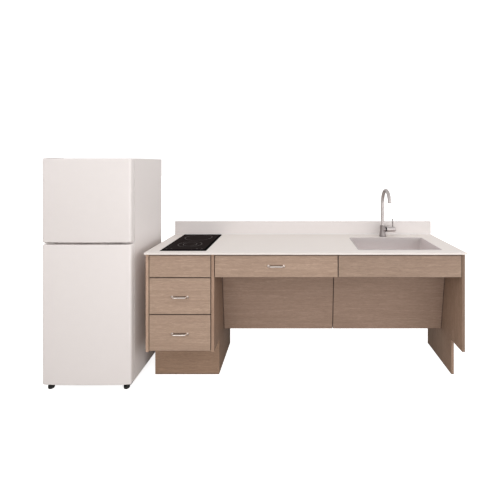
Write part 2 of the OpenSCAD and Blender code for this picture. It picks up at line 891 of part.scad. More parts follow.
module strainer_basket() {
    rim_r = cup_r - run_fit;
    basket_r = cup_r - 5;
    rim_z = bowl_floor_z - 4;
    base_z = cup_floor_z + run_fit;
    color(steel) translate([bowl_x, drain_y, 0]) {
        difference() {
            union() {
                translate([0, 0, base_z]) cylinder(r = basket_r, h = rim_z - base_z);
                translate([0, 0, rim_z]) cylinder(r = rim_r, h = 1.5);
            }
            translate([0, 0, base_z + 1.5]) cylinder(r = basket_r - 1.5, h = rim_z - base_z + 2 * cut);
            for (k = [0 : 7]) rotate([0, 0, 45 * k]) translate([basket_r * 0.6, 0, base_z - cut])
                cylinder(r = 3, h = 4, $fn = 24);
        }
        translate([0, 0, base_z]) cylinder(r = 4, h = rim_z - base_z + 6);
        translate([0, 0, rim_z + 6]) cylinder(r = 8, h = 4);
    }
}

module drain_trap() {
    pipe_top = cup_floor_z - cup_t;
    color(liner_white) translate([bowl_x, 0, 0]) {
        translate([0, drain_y, trap_z]) cylinder(r = pipe_r, h = pipe_top - trap_z);
        translate([0, drain_y, pipe_top - coupling_h]) cylinder(r = coupling_r, h = coupling_h);
        translate([0, drain_y, trap_z]) cylinder(r = coupling_r, h = coupling_h);
        translate([0, trap_y, trap_z]) rotate([90, 0, 90]) rotate([0, 0, 180])
            rotate_extrude(angle = 180) translate([trap_r, 0]) circle(r = pipe_r);
        translate([0, riser_y, trap_z]) cylinder(r = pipe_r, h = trap_rise - elbow_r);
        translate([0, riser_y, trap_z]) cylinder(r = coupling_r, h = coupling_h);
        translate([0, riser_y + elbow_r, arm_z - elbow_r]) rotate([90, 0, 90]) rotate([0, 0, 90])
            rotate_extrude(angle = 90) translate([elbow_r, 0]) circle(r = pipe_r);
        rod_y(0, arm_z, pipe_r, riser_y + elbow_r, wall_y - run_fit);
        rod_y(0, arm_z, coupling_r, riser_y + elbow_r, riser_y + elbow_r + coupling_h);
    }
}

// Tap

module tap_body() {
    color(steel) difference() {
        union() {
            translate([tap_x, tap_y, top_z]) rotate_extrude($fn = 64) polygon(concat(
                [[0, 0], [tap_foot_r, 0], [tap_foot_r, 3], [tap_foot_r - 1, 4],
                 [tap_neck_r + 1.8, tap_body_h * 0.38], [tap_neck_r, tap_body_h * 0.6]],
                arc_points(tap_neck_r - 4, tap_body_h - 4, 4, 0, 90, 4),
                [[0, tap_body_h]]
            ));
            rod_x(tap_y, hub_mid_z, hub_r, tap_x, tap_x + hub_reach);
            translate([tap_x, tap_y, top_z - shank_l]) cylinder(r = shank_r, h = shank_l);
        }
        translate([tap_x, tap_y, top_z + tap_body_h - spigot_l - run_fit])
            cylinder(r = spigot_r + pivot_fit, h = spigot_l + run_fit + cut);
        rod_x(tap_y, hub_mid_z, cartridge_r + pivot_fit, tap_x + hub_reach - cartridge_l, tap_x + cap_x + cut);
    }
}

module tap_underdeck() {
    nut_h = 10;
    washer_h = 3;
    tail_gap = 10;
    shank_z = top_z - shank_l;
    color(zinc) translate([tap_x, tap_y, 0]) {
        translate([0, 0, carcass_h - washer_h]) difference() {
            cylinder(r = shank_r + 12, h = washer_h);
            translate([0, 0, -cut]) cylinder(r = shank_r + glue, h = washer_h + 2 * cut);
        }
        translate([0, 0, carcass_h - washer_h - glue - nut_h]) difference() {
            cylinder(r = shank_r + 8, h = nut_h, $fn = 6);
            translate([0, 0, -cut]) cylinder(r = shank_r + glue, h = nut_h + 2 * cut);
        }
    }
    color([0.80, 0.52, 0.36]) for (side = [-1, 1]) translate([tap_x + side * tail_gap, tap_y, shank_z - tail_l]) {
        cylinder(r = tail_r, h = tail_l);
    }
}

module tap_spout() {
    base_z = top_z + tap_body_h + run_fit;
    color(steel) {
        translate([tap_x, tap_y, base_z - spigot_l]) cylinder(r = spigot_r, h = spigot_l + cut);
        translate([tap_x, tap_y, base_z]) cylinder(r = spout_r, h = spout_z - base_z);
        translate([tap_x, spout_y, spout_z]) rotate([90, 0, 90])
            rotate_extrude(angle = spout_turn) translate([spout_bend_r, 0]) circle(r = spout_r);
    }
}

module tap_aerator() {
    color(zinc) translate([tap_x, spout_y, spout_z]) rotate([90, 0, 90])
        rotate([0, 0, spout_turn]) translate([spout_bend_r, 0, 0]) rotate([-90, 0, 0]) difference() {
            cylinder(r = spout_r + 0.6, h = aerator_h);
            translate([0, 0, aerator_h - 2]) cylinder(r = spout_r - 2.5, h = 2 + cut);
        }
}

// The cartridge in the hub, with the black cap that fills the gap to the handle barrel.
module tap_cartridge() {
    x0 = hub_reach - cartridge_l + run_fit;
    nose_x = cap_x + cap_l;
    mouth_r = ball_r + run_fit;
    color(black) translate([tap_x, tap_y, hub_mid_z]) difference() {
        rotate([0, 90, 0]) {
            translate([0, 0, x0]) cylinder(r = cartridge_r, h = cap_x - x0);
            translate([0, 0, cap_x]) cylinder(r = cap_r, h = cap_l);
            translate([0, 0, nose_x]) cylinder(r1 = cap_r, r2 = cap_nose_r, h = cap_nose_l);
        }
        translate([ball_x, 0, 0]) sphere(r = mouth_r);
        rotate([0, 90, 0]) translate([0, 0, ball_x]) {
            cylinder(r = mouth_r, h = nose_x - ball_x + cut);
            translate([0, 0, nose_x - ball_x]) cylinder(r1 = mouth_r, r2 = mouth_r + 2.5, h = cap_nose_l + cut);
        }
    }
}

module tap_handle() {
    cup_l = 8;
    end_x = barrel_start + barrel_l;
    color(steel) translate([tap_x, tap_y, hub_mid_z]) {
        difference() {
            union() {
                rotate([0, 90, 0]) translate([0, 0, barrel_start]) cylinder(r = barrel_r, h = barrel_l - 2);
                rotate([0, 90, 0]) translate([0, 0, end_x - 2]) cylinder(r1 = barrel_r, r2 = barrel_r - 2, h = 2);
            }
            rotate([0, 90, 0]) translate([0, 0, barrel_start - cut]) cylinder(r = barrel_r - 3, h = cup_l + cut);
            translate([lever_x, 0, barrel_r - 8]) cylinder(r = lever_r + glue, h = 8 + cut);
        }
        rotate([0, 90, 0]) translate([0, 0, ball_x]) cylinder(r = stem_r, h = barrel_start + cup_l - ball_x + cut);
        translate([ball_x, 0, 0]) sphere(r = ball_r);
    }
}

module tap_lever() {
    foot_z = hub_mid_z + barrel_r - 8 + glue;
    color(steel) translate([tap_x + lever_x, tap_y, 0]) {
        translate([0, 0, foot_z]) cylinder(r = lever_r, h = top_z + lever_top - lever_r - foot_z);
        translate([0, 0, top_z + lever_top - lever_r]) sphere(r = lever_r);
    }
}

// Fridge cabinet

module fridge_cabinet() {
    inner_x0 = fridge_x0 + skin_t;
    inner_x1 = fridge_x1 - skin_t;
    color(fridge_white) {
        difference() {
            slab(fridge_x0, fridge_x1, cab_y0, cab_y1, fridge_z, fridge_h);
            slab(inner_x0, inner_x1, cab_y0 + skin_t, cab_y1 - skin_t, fridge_z + skin_t, fridge_h - skin_t);
            slab(inner_x0, inner_x1, cab_y1 - skin_t - cut, cab_y1 + cut, fridge_z + skin_t, bay_z - skin_t);
            slab(fresh_x0, fresh_x1, cab_y0 - cut, cab_y0 + skin_t + cut, fresh_z0, mullion_z0);
            slab(fresh_x0, fresh_x1, cab_y0 - cut, cab_y0 + skin_t + cut, mullion_z1, freezer_z1);
        }
        along_x(inner_x0 - skin_t / 2, inner_x1 + skin_t / 2) polygon([
            [bay_y, fridge_z + skin_t / 2], [bay_y, bay_z], [cab_y1 - skin_t / 2, bay_z],
            [cab_y1 - skin_t / 2, bay_z - skin_t], [bay_y + skin_t, bay_z - skin_t],
            [bay_y + skin_t, fridge_z + skin_t / 2]
        ]);
    }
}

// The (Y, Z) outline of the fresh food liner, drawn in by t.
module fresh_outline(t) {
    front = t > 0 ? cab_y0 - cut : cab_y0;
    polygon([
        [front, fresh_z0 + t], [step_y - t, fresh_z0 + t], [step_y - t, step_z + t],
        [cold_y1 - t, step_z + t], [cold_y1 - t, mullion_z0 - t], [front, mullion_z0 - t]
    ]);
}

// The freezer liner's outline, drawn in by t.
module freezer_outline(t) {
    front = t > 0 ? cab_y0 - cut : cab_y0;
    polygon([
        [front, mullion_z1 + t], [cold_y1 - t, mullion_z1 + t],
        [cold_y1 - t, freezer_z1 - t], [front, freezer_z1 - t]
    ]);
}

module fridge_liners() {
    inner_x0 = fresh_x0 + liner_t;
    inner_x1 = fresh_x1 - liner_t;
    color(liner_white) {
        difference() {
            along_x(fresh_x0, fresh_x1) fresh_outline(0);
            along_x(inner_x0, inner_x1) fresh_outline(liner_t);
        }
        difference() {
            along_x(fresh_x0, fresh_x1) freezer_outline(0);
            along_x(inner_x0, inner_x1) freezer_outline(liner_t);
        }
        for (z = concat(shelf_levels, [freezer_shelf_z]), side = [0, 1]) {
            x = side == 0 ? inner_x0 - liner_t / 2 : inner_x1 + liner_t / 2 - ledge_w;
            y1 = z == freezer_shelf_z ? freezer_shelf_y1 : cold_y1 - liner_t / 2;
            slab(x, x + ledge_w, shelf_front_y, y1, z - ledge_h, z);
        }
    }
}

module fridge_shelves() {
    x0 = fresh_x0 + liner_t + 1;
    x1 = fresh_x1 - liner_t - 1;
    shelf_t = 5;
    lip_h = 16;
    color(clear_plastic) for (z = shelf_levels) {
        slab(x0, x1, shelf_front_y, cold_y1 - liner_t - 4, z + glue, z + shelf_t);
        slab(x0, x1, shelf_front_y - 6, shelf_front_y - glue, z + shelf_t - lip_h, z + shelf_t);
    }
    color(liner_white) {
        for (y = [shelf_front_y, (shelf_front_y + cold_y1) / 2, freezer_shelf_y1 - 6])
            slab(x0, x1, y, y + 6, freezer_shelf_z + glue, freezer_shelf_z + 6);
        for (k = [0 : 12])
            slab(x0 + 10 + k * (x1 - x0 - 24) / 12, x0 + 14 + k * (x1 - x0 - 24) / 12,
                 shelf_front_y, freezer_shelf_y1, freezer_shelf_z + 6, freezer_shelf_z + 9);
    }
}

module crisper_drawer() {
    x0 = fresh_x0 + liner_t + 6;
    x1 = fresh_x1 - liner_t - 6;
    y0 = shelf_front_y;
    y1 = step_y - liner_t - 6;
    z0 = fresh_z0 + liner_t + glue;
    wall = 3;
    color(clear_plastic) difference() {
        slab(x0, x1, y0, y1, z0, z0 + crisper_h);
        slab(x0 + wall, x1 - wall, y0 + wall, y1 - wall, z0 + wall, z0 + crisper_h + cut);
        slab((x0 + x1 - crisper_grip_w) / 2, (x0 + x1 + crisper_grip_w) / 2, y0 - cut, y0 + wall + cut,
             z0 + crisper_h - 22, z0 + crisper_h + cut);
    }
}

module evaporator_cover() {
    x0 = fresh_x0 + liner_t + 2;
    x1 = fresh_x1 - liner_t - 2;
    z0 = mullion_z1 + liner_t;
    z1 = freezer_z1 - liner_t - 60;
    y0 = cold_y1 - liner_t - evaporator_l;
    y1 = cold_y1 - liner_t;
    slope = evaporator_l / 2;
    wall = 3;
    color(liner_white) difference() {
        along_x(x0, x1) polygon([[y0, z0], [y0, z1 - slope], [y0 + slope, z1], [y1, z1], [y1, z0]]);
        slab(x0 + wall, x1 - wall, y0 + wall, y1 + cut, z0 - cut, z1 - slope - 2);
        for (k = [-4 : 4]) slab((x0 + x1) / 2 + k * 40 - 12, (x0 + x1) / 2 + k * 40 + 12,
                                y0 - cut, y0 + wall + cut, z1 - 90, z1 - 80);
    }
}

module control_box() {
    x = (fridge_x0 + fridge_x1) / 2;
    z1 = mullion_z0 - liner_t;
    axle_z = z1 - control_h / 2;
    color(liner_white) difference() {
        slab(x - control_w / 2, x + control_w / 2, control_y, control_y + control_l, z1 - control_h, z1);
        rod_y(x, axle_z, pivot_r + pivot_fit, control_y - cut, control_y + knob_axle_l + 1);
    }
}

module thermostat_knob() {
    x = (fridge_x0 + fridge_x1) / 2;
    z = mullion_z0 - liner_t - control_h / 2;
    back_y = control_y - run_fit;
    flange_y = back_y - knob_flange_t;
    grip_r = knob_r - 4;
    color(liner_white) {
        rod_y(x, z, knob_r, flange_y, back_y);
        rod_y(x, z, grip_r + 1, back_y - knob_l + 2, flange_y);
        slab(x - knob_grip_t / 2, x + knob_grip_t / 2, back_y - knob_l, flange_y, z - grip_r, z + grip_r);
        rod_y(x, z, pivot_r, back_y, control_y + knob_axle_l);
    }
}

// Cooling machine

module compressor() {
    x = (fridge_x0 + fridge_x1) / 2 + 90;
    y = bay_y + bay_d / 2 + 4;
    z = fridge_z + skin_t;
    pot_r = 66;
    color(black) {
        translate([x, y, z + 14]) rotate_extrude($fn = 64) polygon(concat(
            [[0, 0]], arc_points(pot_r - 22, 22, 22, -90, 90, 6),
            arc_points(pot_r - 40, 80, 40, 0, 90, 8), [[0, 120]]
        ));
        slab(x - 85, x + 85, y - 60, y + 60, z + 10, z + 14.5);
        for (sx = [-1, 1], sy = [-1, 1]) translate([x + sx * 70, y + sy * 46, z]) cylinder(r = 10, h = 10);
        rod_x(y - 30, z + 110, 4, x - 110, x - 20);
    }
}

module condenser() {
    y = cab_y1 + 18;
    x0 = fridge_x0 + 55;
    x1 = fridge_x1 - 55;
    z0 = bay_z + 60;
    pitch = (fridge_h - 120 - z0) / (condenser_runs - 1);
    bend = pitch / 2;
    strap_t = 1.6;
    color([0.12, 0.12, 0.12]) {
        for (k = [0 : condenser_runs - 1])
            rod_x(y, z0 + k * pitch, condenser_r, x0 + bend + glue, x1 - bend - glue);
        for (k = [0 : condenser_runs - 2])
            translate([k % 2 == 0 ? x1 - bend : x0 + bend, y, z0 + k * pitch + bend])
                rotate([90, k % 2 == 0 ? 90 : -90, 0])
                    rotate_extrude(angle = 180) translate([bend, 0]) circle(r = condenser_r);
        for (x = [x0 + bend + 20, x1 - bend - 20], k = [0, condenser_runs - 1])
            slab(x - 6, x + 6, cab_y1, y - condenser_r - glue, z0 + k * pitch - 6, z0 + k * pitch + 6);
        for (k = [0 : 15]) {
            x = x0 + bend + 10 + k * (x1 - x0 - 2 * bend - 20) / 15;
            slab(x - strap_t / 2, x + strap_t / 2, y + condenser_r + glue, y + condenser_r + glue + strap_t,
                 z0 - 12, z0 + (condenser_runs - 1) * pitch + 12);
        }
    }
}

// Feet and hinges

// A plate from the hinge axis back over or under the cabinet.
module hinge_plate(z0, y1) {
    slab(plate_x0, plate_x0 + plate_l, plate_y0, y1, z0, z0 + hinge_t);
}

module hinge_pin(z0, z1) {
    translate([pivot_x, pivot_y, z0]) cylinder(r = pivot_r, h = z1 - z0);
}

module door_hinges() {
    mid_z = split_mid_z - hinge_t / 2;
    flap_t = 2;
    flap_h = 28;
    color(zinc) {
        hinge_plate(fridge_z - hinge_t, plate_y1);
        hinge_pin(fridge_z - hinge_t / 2, door_z + pivot_l);
        hinge_plate(mid_z, cab_y0);
        slab(pivot_x + 12, plate_x0 + plate_l, cab_y0 - flap_t, cab_y0,
             split_mid_z - flap_h / 2, split_mid_z + flap_h / 2);
        hinge_pin(door_split_z - pivot_l, freezer_z + pivot_l);
        hinge_plate(fridge_h, plate_y1);
        hinge_pin(door_top_z - pivot_l, fridge_h + hinge_t / 2);
    }
}

module fridge_feet() {
    rear_y = cab_y1 - 45;
    color(black) {
        for (x = [fridge_x0 + foot_in, fridge_x1 - foot_in]) {
            translate([x, foot_y, 0]) cylinder(r1 = foot_r - foot_taper, r2 = foot_r, h = foot_taper_h);
            translate([x, foot_y, foot_taper_h]) cylinder(r = foot_r, h = foot_pad_z - foot_taper_h);
            translate([x, foot_y, foot_pad_z])
                cylinder(r = foot_stem_r, h = fridge_z - hinge_t - foot_pad_z);
            translate([x, rear_y, 0]) cylinder(r1 = foot_r, r2 = foot_r - foot_taper, h = fridge_z);
        }
        translate([fridge_x0 + fridge_x1, 0, 0]) mirror([1, 0, 0]) hinge_plate(fridge_z - hinge_t, plate_y1);
    }
}

// Fridge doors

// The door's (X, Y) outline: a bowed front with round corners, drawn in by t.
function door_points(t) =
    let (
        half = fridge_w / 2,
        bow_r = (half * half + door_bow * door_bow) / (2 * door_bow),
        r = door_edge_r,
        x = (fridge_x0 + fridge_x1) / 2,
        bow_y = door_y0 + bow_r,
        corner_x = half - r,
        corner_y = bow_y - sqrt((bow_r - r) * (bow_r - r) - corner_x * corner_x),
        edge_angle = atan2(corner_x, bow_y - corner_y),
        sweep = 90 - edge_angle
    )
    concat(
        [[x + half - t, door_back_y + (t > 0 ? cut : 0)]],
        [for (i = [0 : 8]) let (a = -i * sweep / 8)
            [x + corner_x + (r - t) * cos(a), corner_y + (r - t) * sin(a)]],
        [for (i = [1 : 15]) let (a = edge_angle * (1 - i / 8))
            [x + (bow_r - t) * sin(a), bow_y - (bow_r - t) * cos(a)]],
        [for (i = [0 : 8]) let (a = -90 - edge_angle - i * sweep / 8)
            [x - corner_x + (r - t) * cos(a), corner_y + (r - t) * sin(a)]],
        [[x - half + t, door_back_y + (t > 0 ? cut : 0)]]
    );

// A hollow door pan with its hinge bushes and, at one edge, a grip pocket.
module door_panel(z0, z1, grip_z0, grip_z1) {
    bush_r = 9;
    color(fridge_white) difference() {
        union() {
            difference() {
                translate([0, 0, z0]) linear_extrude(height = z1 - z0) polygon(door_points(0));
                translate([0, 0, z0 + skin_t]) linear_extrude(height = z1 - z0 - 2 * skin_t)
                    polygon(door_points(skin_t));
            }
            for (z = [z0 + skin_t / 2, z1 - pivot_l - 4])
                translate([pivot_x, pivot_y, z]) cylinder(r = bush_r, h = pivot_l + 4 - skin_t / 2);
            slab(grip_x1 - grip_w - skin_t, grip_x1 + skin_t, grip_y0 - skin_t, grip_y0 + grip_l + skin_t,
                 max(grip_z0 - skin_t, z0), min(grip_z1 + skin_t, z1));
        }
        slab(grip_x1 - grip_w, grip_x1, grip_y0, grip_y0 + grip_l, grip_z0, grip_z1);
        for (z = [z0 - cut, z1 - pivot_l - run_fit - cut])
            translate([pivot_x, pivot_y, z]) cylinder(r = pivot_r + pivot_fit, h = pivot_l + run_fit + 2 * cut);
    }
}

module fridge_door_panel() {
    door_panel(door_z, door_split_z, door_split_z - grip_h, door_split_z + cut);
}

module freezer_door_panel() {
    door_panel(freezer_z, door_top_z, freezer_z - cut, freezer_z + grip_h);
}

// A door liner: a flat pan behind the skin with two upright dykes into the compartment.
module door_liner(z0, z1, dyke_z0, dyke_z1) {
    pan_t = 3;
    x0 = fridge_x0 + skin_t + run_fit;
    x1 = fridge_x1 - skin_t - run_fit;
    color(liner_white) {
        slab(x0, x1, door_back_y - pan_t, door_back_y, z0 + skin_t + run_fit, z1 - skin_t - run_fit);
        for (x = [bin_x0 - dyke_t, bin_x1])
            along_x(x, x + dyke_t) polygon([
                [door_back_y + glue, dyke_z0], [door_back_y + glue, dyke_z1],
                [bin_y1 - dyke_slope, dyke_z1], [bin_y1, dyke_z1 - dyke_slope],
                [bin_y1, dyke_z0 + dyke_slope / 2], [bin_y1 - dyke_slope / 2, dyke_z0]
            ]);
    }
}

module fridge_door_liner() {
    door_liner(door_z, door_split_z, fresh_dyke_z0, fresh_dyke_z1);
}

// The freezer door's liner, with a tray clipped in between its dykes at each height.
module freezer_door_liner() {
    lip_y = bin_y1 - 2 * tray_t;
    door_liner(freezer_z, door_top_z, freezer_dyke_z0, freezer_dyke_z1);
    color(liner_white) for (z = freezer_trays_z) {
        slab(bin_x0 + glue, bin_x1 - glue, door_back_y + glue, lip_y + glue, z, z + tray_t);
        slab(bin_x0 + glue, bin_x1 - glue, lip_y, lip_y + tray_t, z, z + tray_h);
    }
}

module fridge_door_bins() {
    wall = 2.5;
    color(clear_plastic) for (z = fresh_bins_z) difference() {
        slab(bin_x0 + glue, bin_x1 - glue, door_back_y + glue, bin_y1 - 2, z, z + bin_h);
        slab(bin_x0 + glue + wall, bin_x1 - glue - wall, door_back_y + glue + wall, bin_y1 - 2 - wall,
             z + wall, z + bin_h + cut);
        slab(bin_x0, bin_x1, door_back_y, bin_y1 - 2 - wall, z + bin_h * 0.7, z + bin_h + cut);
    }
}

// A closed ring of gasket round a door's rear face.
module door_gasket(z0, z1) {
    x0 = fridge_x0 + gasket_in;
    x1 = fridge_x1 - gasket_in;
    color([0.80, 0.79, 0.78]) difference() {
        slab(x0, x1, door_back_y, door_back_y + gasket_t, z0, z1);
        slab(x0 + gasket_w, x1 - gasket_w, door_back_y - cut, door_back_y + gasket_t + cut,
             z0 + gasket_w, z1 - gasket_w);
    }
}

module fridge_door_gasket() {
    door_gasket(fresh_z0 - gasket_w - 6, mullion_z0 + gasket_w + 1);
}

module freezer_door_gasket() {
    door_gasket(mullion_z1 - gasket_w - 1, freezer_z1 + gasket_w + 6);
}

worktop();
backsplash();
base_left_side();
base_right_side();
base_floor();
base_back();
base_rails();
hob_false_front();
plinth_board();
end_panel();
sink_false_front();
apron_rails();
apron_divider();
knee_panels();
knee_panel_cleats();
runner_channels();
sink_bowl();
sink_strainer();
strainer_basket();
drain_trap();
tap_body();
tap_underdeck();
tap_spout();
tap_aerator();
tap_cartridge();
tap_handle();
tap_lever();
hob_glass();
hob_case();
hob_elements();
upper_drawer_front();
upper_drawer_box();
upper_drawer_pull();
upper_drawer_slides();
lower_drawer_front();
lower_drawer_box();
lower_drawer_pull();
lower_drawer_slides();
apron_drawer_front();
apron_drawer_box();
apron_drawer_pull();
apron_drawer_slides();
fridge_cabinet();
fridge_liners();
fridge_feet();
door_hinges();
compressor();
condenser();
fridge_shelves();
crisper_drawer();
evaporator_cover();
control_box();
thermostat_knob();
fridge_door_panel();
fridge_door_liner();
fridge_door_bins();
fridge_door_gasket();
freezer_door_panel();
freezer_door_liner();
freezer_door_gasket();
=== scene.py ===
# Looks of the mini kitchen unit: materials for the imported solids, and the finer visible pieces
# round them. Metres, in the same frame as the solids: Z up, X to the right, Y back to the wall.
import json
import math

import bmesh
import bpy
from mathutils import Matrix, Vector


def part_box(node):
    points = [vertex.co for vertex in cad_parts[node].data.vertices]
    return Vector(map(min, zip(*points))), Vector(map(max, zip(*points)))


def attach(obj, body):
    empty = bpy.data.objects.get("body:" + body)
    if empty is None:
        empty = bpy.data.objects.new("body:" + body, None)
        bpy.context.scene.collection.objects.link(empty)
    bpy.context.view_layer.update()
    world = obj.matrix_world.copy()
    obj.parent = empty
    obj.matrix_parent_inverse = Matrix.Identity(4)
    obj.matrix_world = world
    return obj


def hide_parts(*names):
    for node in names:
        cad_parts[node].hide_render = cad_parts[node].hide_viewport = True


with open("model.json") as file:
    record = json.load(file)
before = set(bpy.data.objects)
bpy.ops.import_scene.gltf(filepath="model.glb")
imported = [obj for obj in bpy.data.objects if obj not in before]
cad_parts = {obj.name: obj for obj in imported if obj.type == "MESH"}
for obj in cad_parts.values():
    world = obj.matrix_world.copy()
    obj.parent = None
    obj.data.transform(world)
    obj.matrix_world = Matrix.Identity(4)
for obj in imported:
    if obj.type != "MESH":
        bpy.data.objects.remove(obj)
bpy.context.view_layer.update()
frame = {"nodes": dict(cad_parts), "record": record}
NODES = frame["nodes"]


def new_object(name, data):
    """An object in the scene's own collection."""
    made = bpy.data.objects.new(name, data)
    bpy.context.scene.collection.objects.link(made)
    return made


def middle(node, axis):
    """The middle of a node's box along one axis, from 0 to 2."""
    lo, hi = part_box(node)
    return (lo[axis] + hi[axis]) / 2


# Camera and light

PHOTO_PX = 500
FOCAL_PX = 353.7
AXIS_PX = (293.1, 163.8)
SENSOR_MM = 36
CAMERA_PLACE = (0.256, -2.653, 1.503)
STUDIO_WHITE = (1, 0.99, 0.985, 1)
# The sky's strength, which rises with the height of the direction that it shines from
SKY = {"From Min": -0.45, "From Max": 0.1, "To Min": 0.12, "To Max": 0.8}
BACKDROP_STRENGTH = 1.1
# Each light's place, the point that it faces, its width and height, and its power in watts
LIGHTS = {
    "front_soft": ((0.3, -4.0, 0.95), (0, 0, 0.7), (4.5, 0.35), 54),
    "right_soft": ((3.6, -2.0, 1.7), (-1.1, 0, 0.8), (4.0, 3.0), 62),
    "left_soft": ((-1.8, -3.0, 3.2), (1.0, 0, 0.9), (2.6, 2.2), 20),
}


def make_camera():
    """A level camera with the photograph's place, focal length and framing."""
    data = bpy.data.cameras.new("camera")
    data.sensor_width = SENSOR_MM
    data.lens = SENSOR_MM * FOCAL_PX / PHOTO_PX
    data.shift_x = 0.5 - AXIS_PX[0] / PHOTO_PX
    data.shift_y = AXIS_PX[1] / PHOTO_PX - 0.5
    camera = new_object("camera", data)
    camera.location = CAMERA_PLACE
    camera.rotation_euler = (math.radians(90), 0, 0)
    bpy.context.scene.camera = camera


def make_light(name, place, target, size, power):
    """A soft rectangular light that faces a point."""
    data = bpy.data.lights.new(name, "AREA")
    data.shape = "RECTANGLE"
    data.size, data.size_y = size
    data.energy = power
    lamp = new_object(name, data)
    lamp.location = place
    lamp.rotation_euler = (Vector(target) - Vector(place)).to_track_quat("-Z", "Y").to_euler()


def add_node(tree, kind, inputs=None, **settings):
    """A shader node with its settings made and its inputs linked or set."""
    made = tree.nodes.new("ShaderNode" + kind)
    for key, value in settings.items():
        setattr(made, key, value)
    for key, value in (inputs or {}).items():
        if isinstance(value, bpy.types.NodeSocket):
            tree.links.new(value, made.inputs[key])
        else:
            made.inputs[key].default_value = value
    return made


def make_world():
    """Soft light from above and all round, little from below, with a white backdrop for the camera."""
    world = bpy.data.worlds.new("studio")
    world.use_nodes = True
    tree = world.node_tree
    direction = add_node(tree, "TexCoord").outputs["Generated"]
    height = add_node(tree, "SeparateXYZ", {0: direction}).outputs["Z"]
    sky = add_node(tree, "MapRange", {"Value": height, **SKY}).outputs["Result"]
    seen = add_node(tree, "LightPath").outputs["Is Camera Ray"]
    strength = add_node(tree, "Mix", {0: seen, 2: sky, 3: BACKDROP_STRENGTH}).outputs[0]
    background = tree.nodes["Background"]
    background.inputs["Color"].default_value = STUDIO_WHITE
    tree.links.new(strength, background.inputs["Strength"])
    bpy.context.scene.world = world


# Material helpers

class Graph:
    """A principled material that reads the object's own coordinates, in metres."""

    def __init__(self, name, **sockets):
        self.material = bpy.data.materials.new(name)
        self.material.use_nodes = True
        self.tree = self.material.node_tree
        self.shader = self.tree.nodes["Principled BSDF"]
        self.place = self.add("TexCoord").outputs["Object"]
        self.parts = None
        for socket, value in sockets.items():
            self.shader.inputs[socket.replace("_", " ")].default_value = value

    def add(self, kind, inputs=None, **settings):
        return add_node(self.tree, kind, inputs, **settings)

    def along(self, axis):
        """The surface point's own coordinate along one axis."""
        if self.parts is None:
            self.parts = self.add("SeparateXYZ", {"Vector": self.place})
        return self.parts.outputs[axis]

    def mapped(self, scale, shift=(0, 0, 0)):
        """The surface point's coordinates, scaled and then shifted."""
        return self.add("Mapping", {"Vector": self.place, "Scale": scale, "Location": shift}).outputs[0]

    def noise(self, vector, scale, detail=3, roughness=0.55, distortion=0):
        inputs = {"Vector": vector, "Scale": scale, "Detail": detail}
        inputs.update({"Roughness": roughness, "Distortion": distortion})
        return self.add("TexNoise", inputs).outputs["Fac"]

    def range(self, value, low, high, to_low=0.0, to_high=1.0):
        """A value carried from one range to another, and held at its ends."""
        inputs = {"Value": value, "From Min": low, "From Max": high, "To Min": to_low, "To Max": to_high}
        return self.add("MapRange", inputs).outputs["Result"]

    def spread(self, noise, to_low=0.0, to_high=1.0):
        """A noise's usual values, 0.3 to 0.7, carried to a range."""
        return self.range(noise, 0.3, 0.7, to_low, to_high)

    def math(self, operation, a, b=0.0):
        return self.add("Math", {0: a, 1: b}, operation=operation).outputs[0]

    def fold(self, operation, values):
        """One value from several, taken two at a time."""
        total = values[0]
        for value in values[1:]:
            total = self.math(operation, total, value)
        return total

    def gap(self, value, centre):
        """How far a value lies from a centre, to either side."""
        return self.math("ABSOLUTE", self.math("SUBTRACT", value, centre))

    def reach(self, a, b):
        """The straight distance of a point that lies a along one axis and b along another."""
        squares = [self.math("MULTIPLY", side, side) for side in (a, b)]
        return self.math("SQRT", self.math("ADD", *squares))

    def blend(self, factor, a, b, mode="MIX"):
        """Colour b over colour a by a factor."""
        made = self.add("Mix", {"Factor": factor}, data_type="RGBA", blend_type=mode)
        colours = [socket for socket in made.inputs if socket.type == "RGBA"]
        for socket, value in zip(colours, (a, b)):
            if isinstance(value, bpy.types.NodeSocket):
                self.tree.links.new(value, socket)
            else:
                socket.default_value = (*value, 1)
        return [socket for socket in made.outputs if socket.type == "RGBA"][0]

    def link(self, socket, value):
        """Feeds a value into a socket of the shader."""
        self.tree.links.new(value, self.shader.inputs[socket])

    def bump(self, height, strength, distance):
        made = self.add("Bump", {"Height": height, "Strength": strength, "Distance": distance})
        self.link("Normal", made.outputs["Normal"])


def shade(colour, factor):
    """A colour scaled by one number, or by a number for each channel."""
    factors = factor if isinstance(factor, tuple) else (factor,) * 3
    return tuple(channel * part for channel, part in zip(colour, factors))


def grained(grain, across, along=1):
    """The scale of a pattern that is drawn out along its grain's axis."""
    return [along if axis == grain else across for axis in "xyz"]


# Floor

FLOOR_REACH = 40
FLOOR_TONES = ((0.70, 0.695, 0.69), (0.71, 0.705, 0.70))
# The floor's tone in the light that it throws back, and its glow where the camera sees it
FLOOR_BOUNCE = (0.3, 0.28, 0.26)
FLOOR_GLOW = 0.85


def make_floor():
    """A wide pale floor with a faint mottle. It is a stage, and no part of the object."""
    mesh = bpy.data.meshes.new("floor")
    signs = ((-1, -1), (1, -1), (1, 1), (-1, 1))
    mesh.from_pydata([(x * FLOOR_REACH, y * FLOOR_REACH, 0) for x, y in signs], [], [(0, 1, 2, 3)])
    graph = Graph("floor", Roughness=0.9, Specular_IOR_Level=0.1, Emission_Color=STUDIO_WHITE)
    seen = graph.add("LightPath").outputs["Is Camera Ray"]
    mottle = graph.noise(graph.place, scale=3, detail=2)
    pale = graph.blend(graph.spread(mottle), *FLOOR_TONES)
    graph.link("Emission Strength", graph.range(seen, 0, 1, 0, FLOOR_GLOW))
    graph.link("Base Color", graph.blend(seen, FLOOR_BOUNCE, pale))
    mesh.materials.append(graph.material)
    new_object("floor", mesh)


# Oak veneer

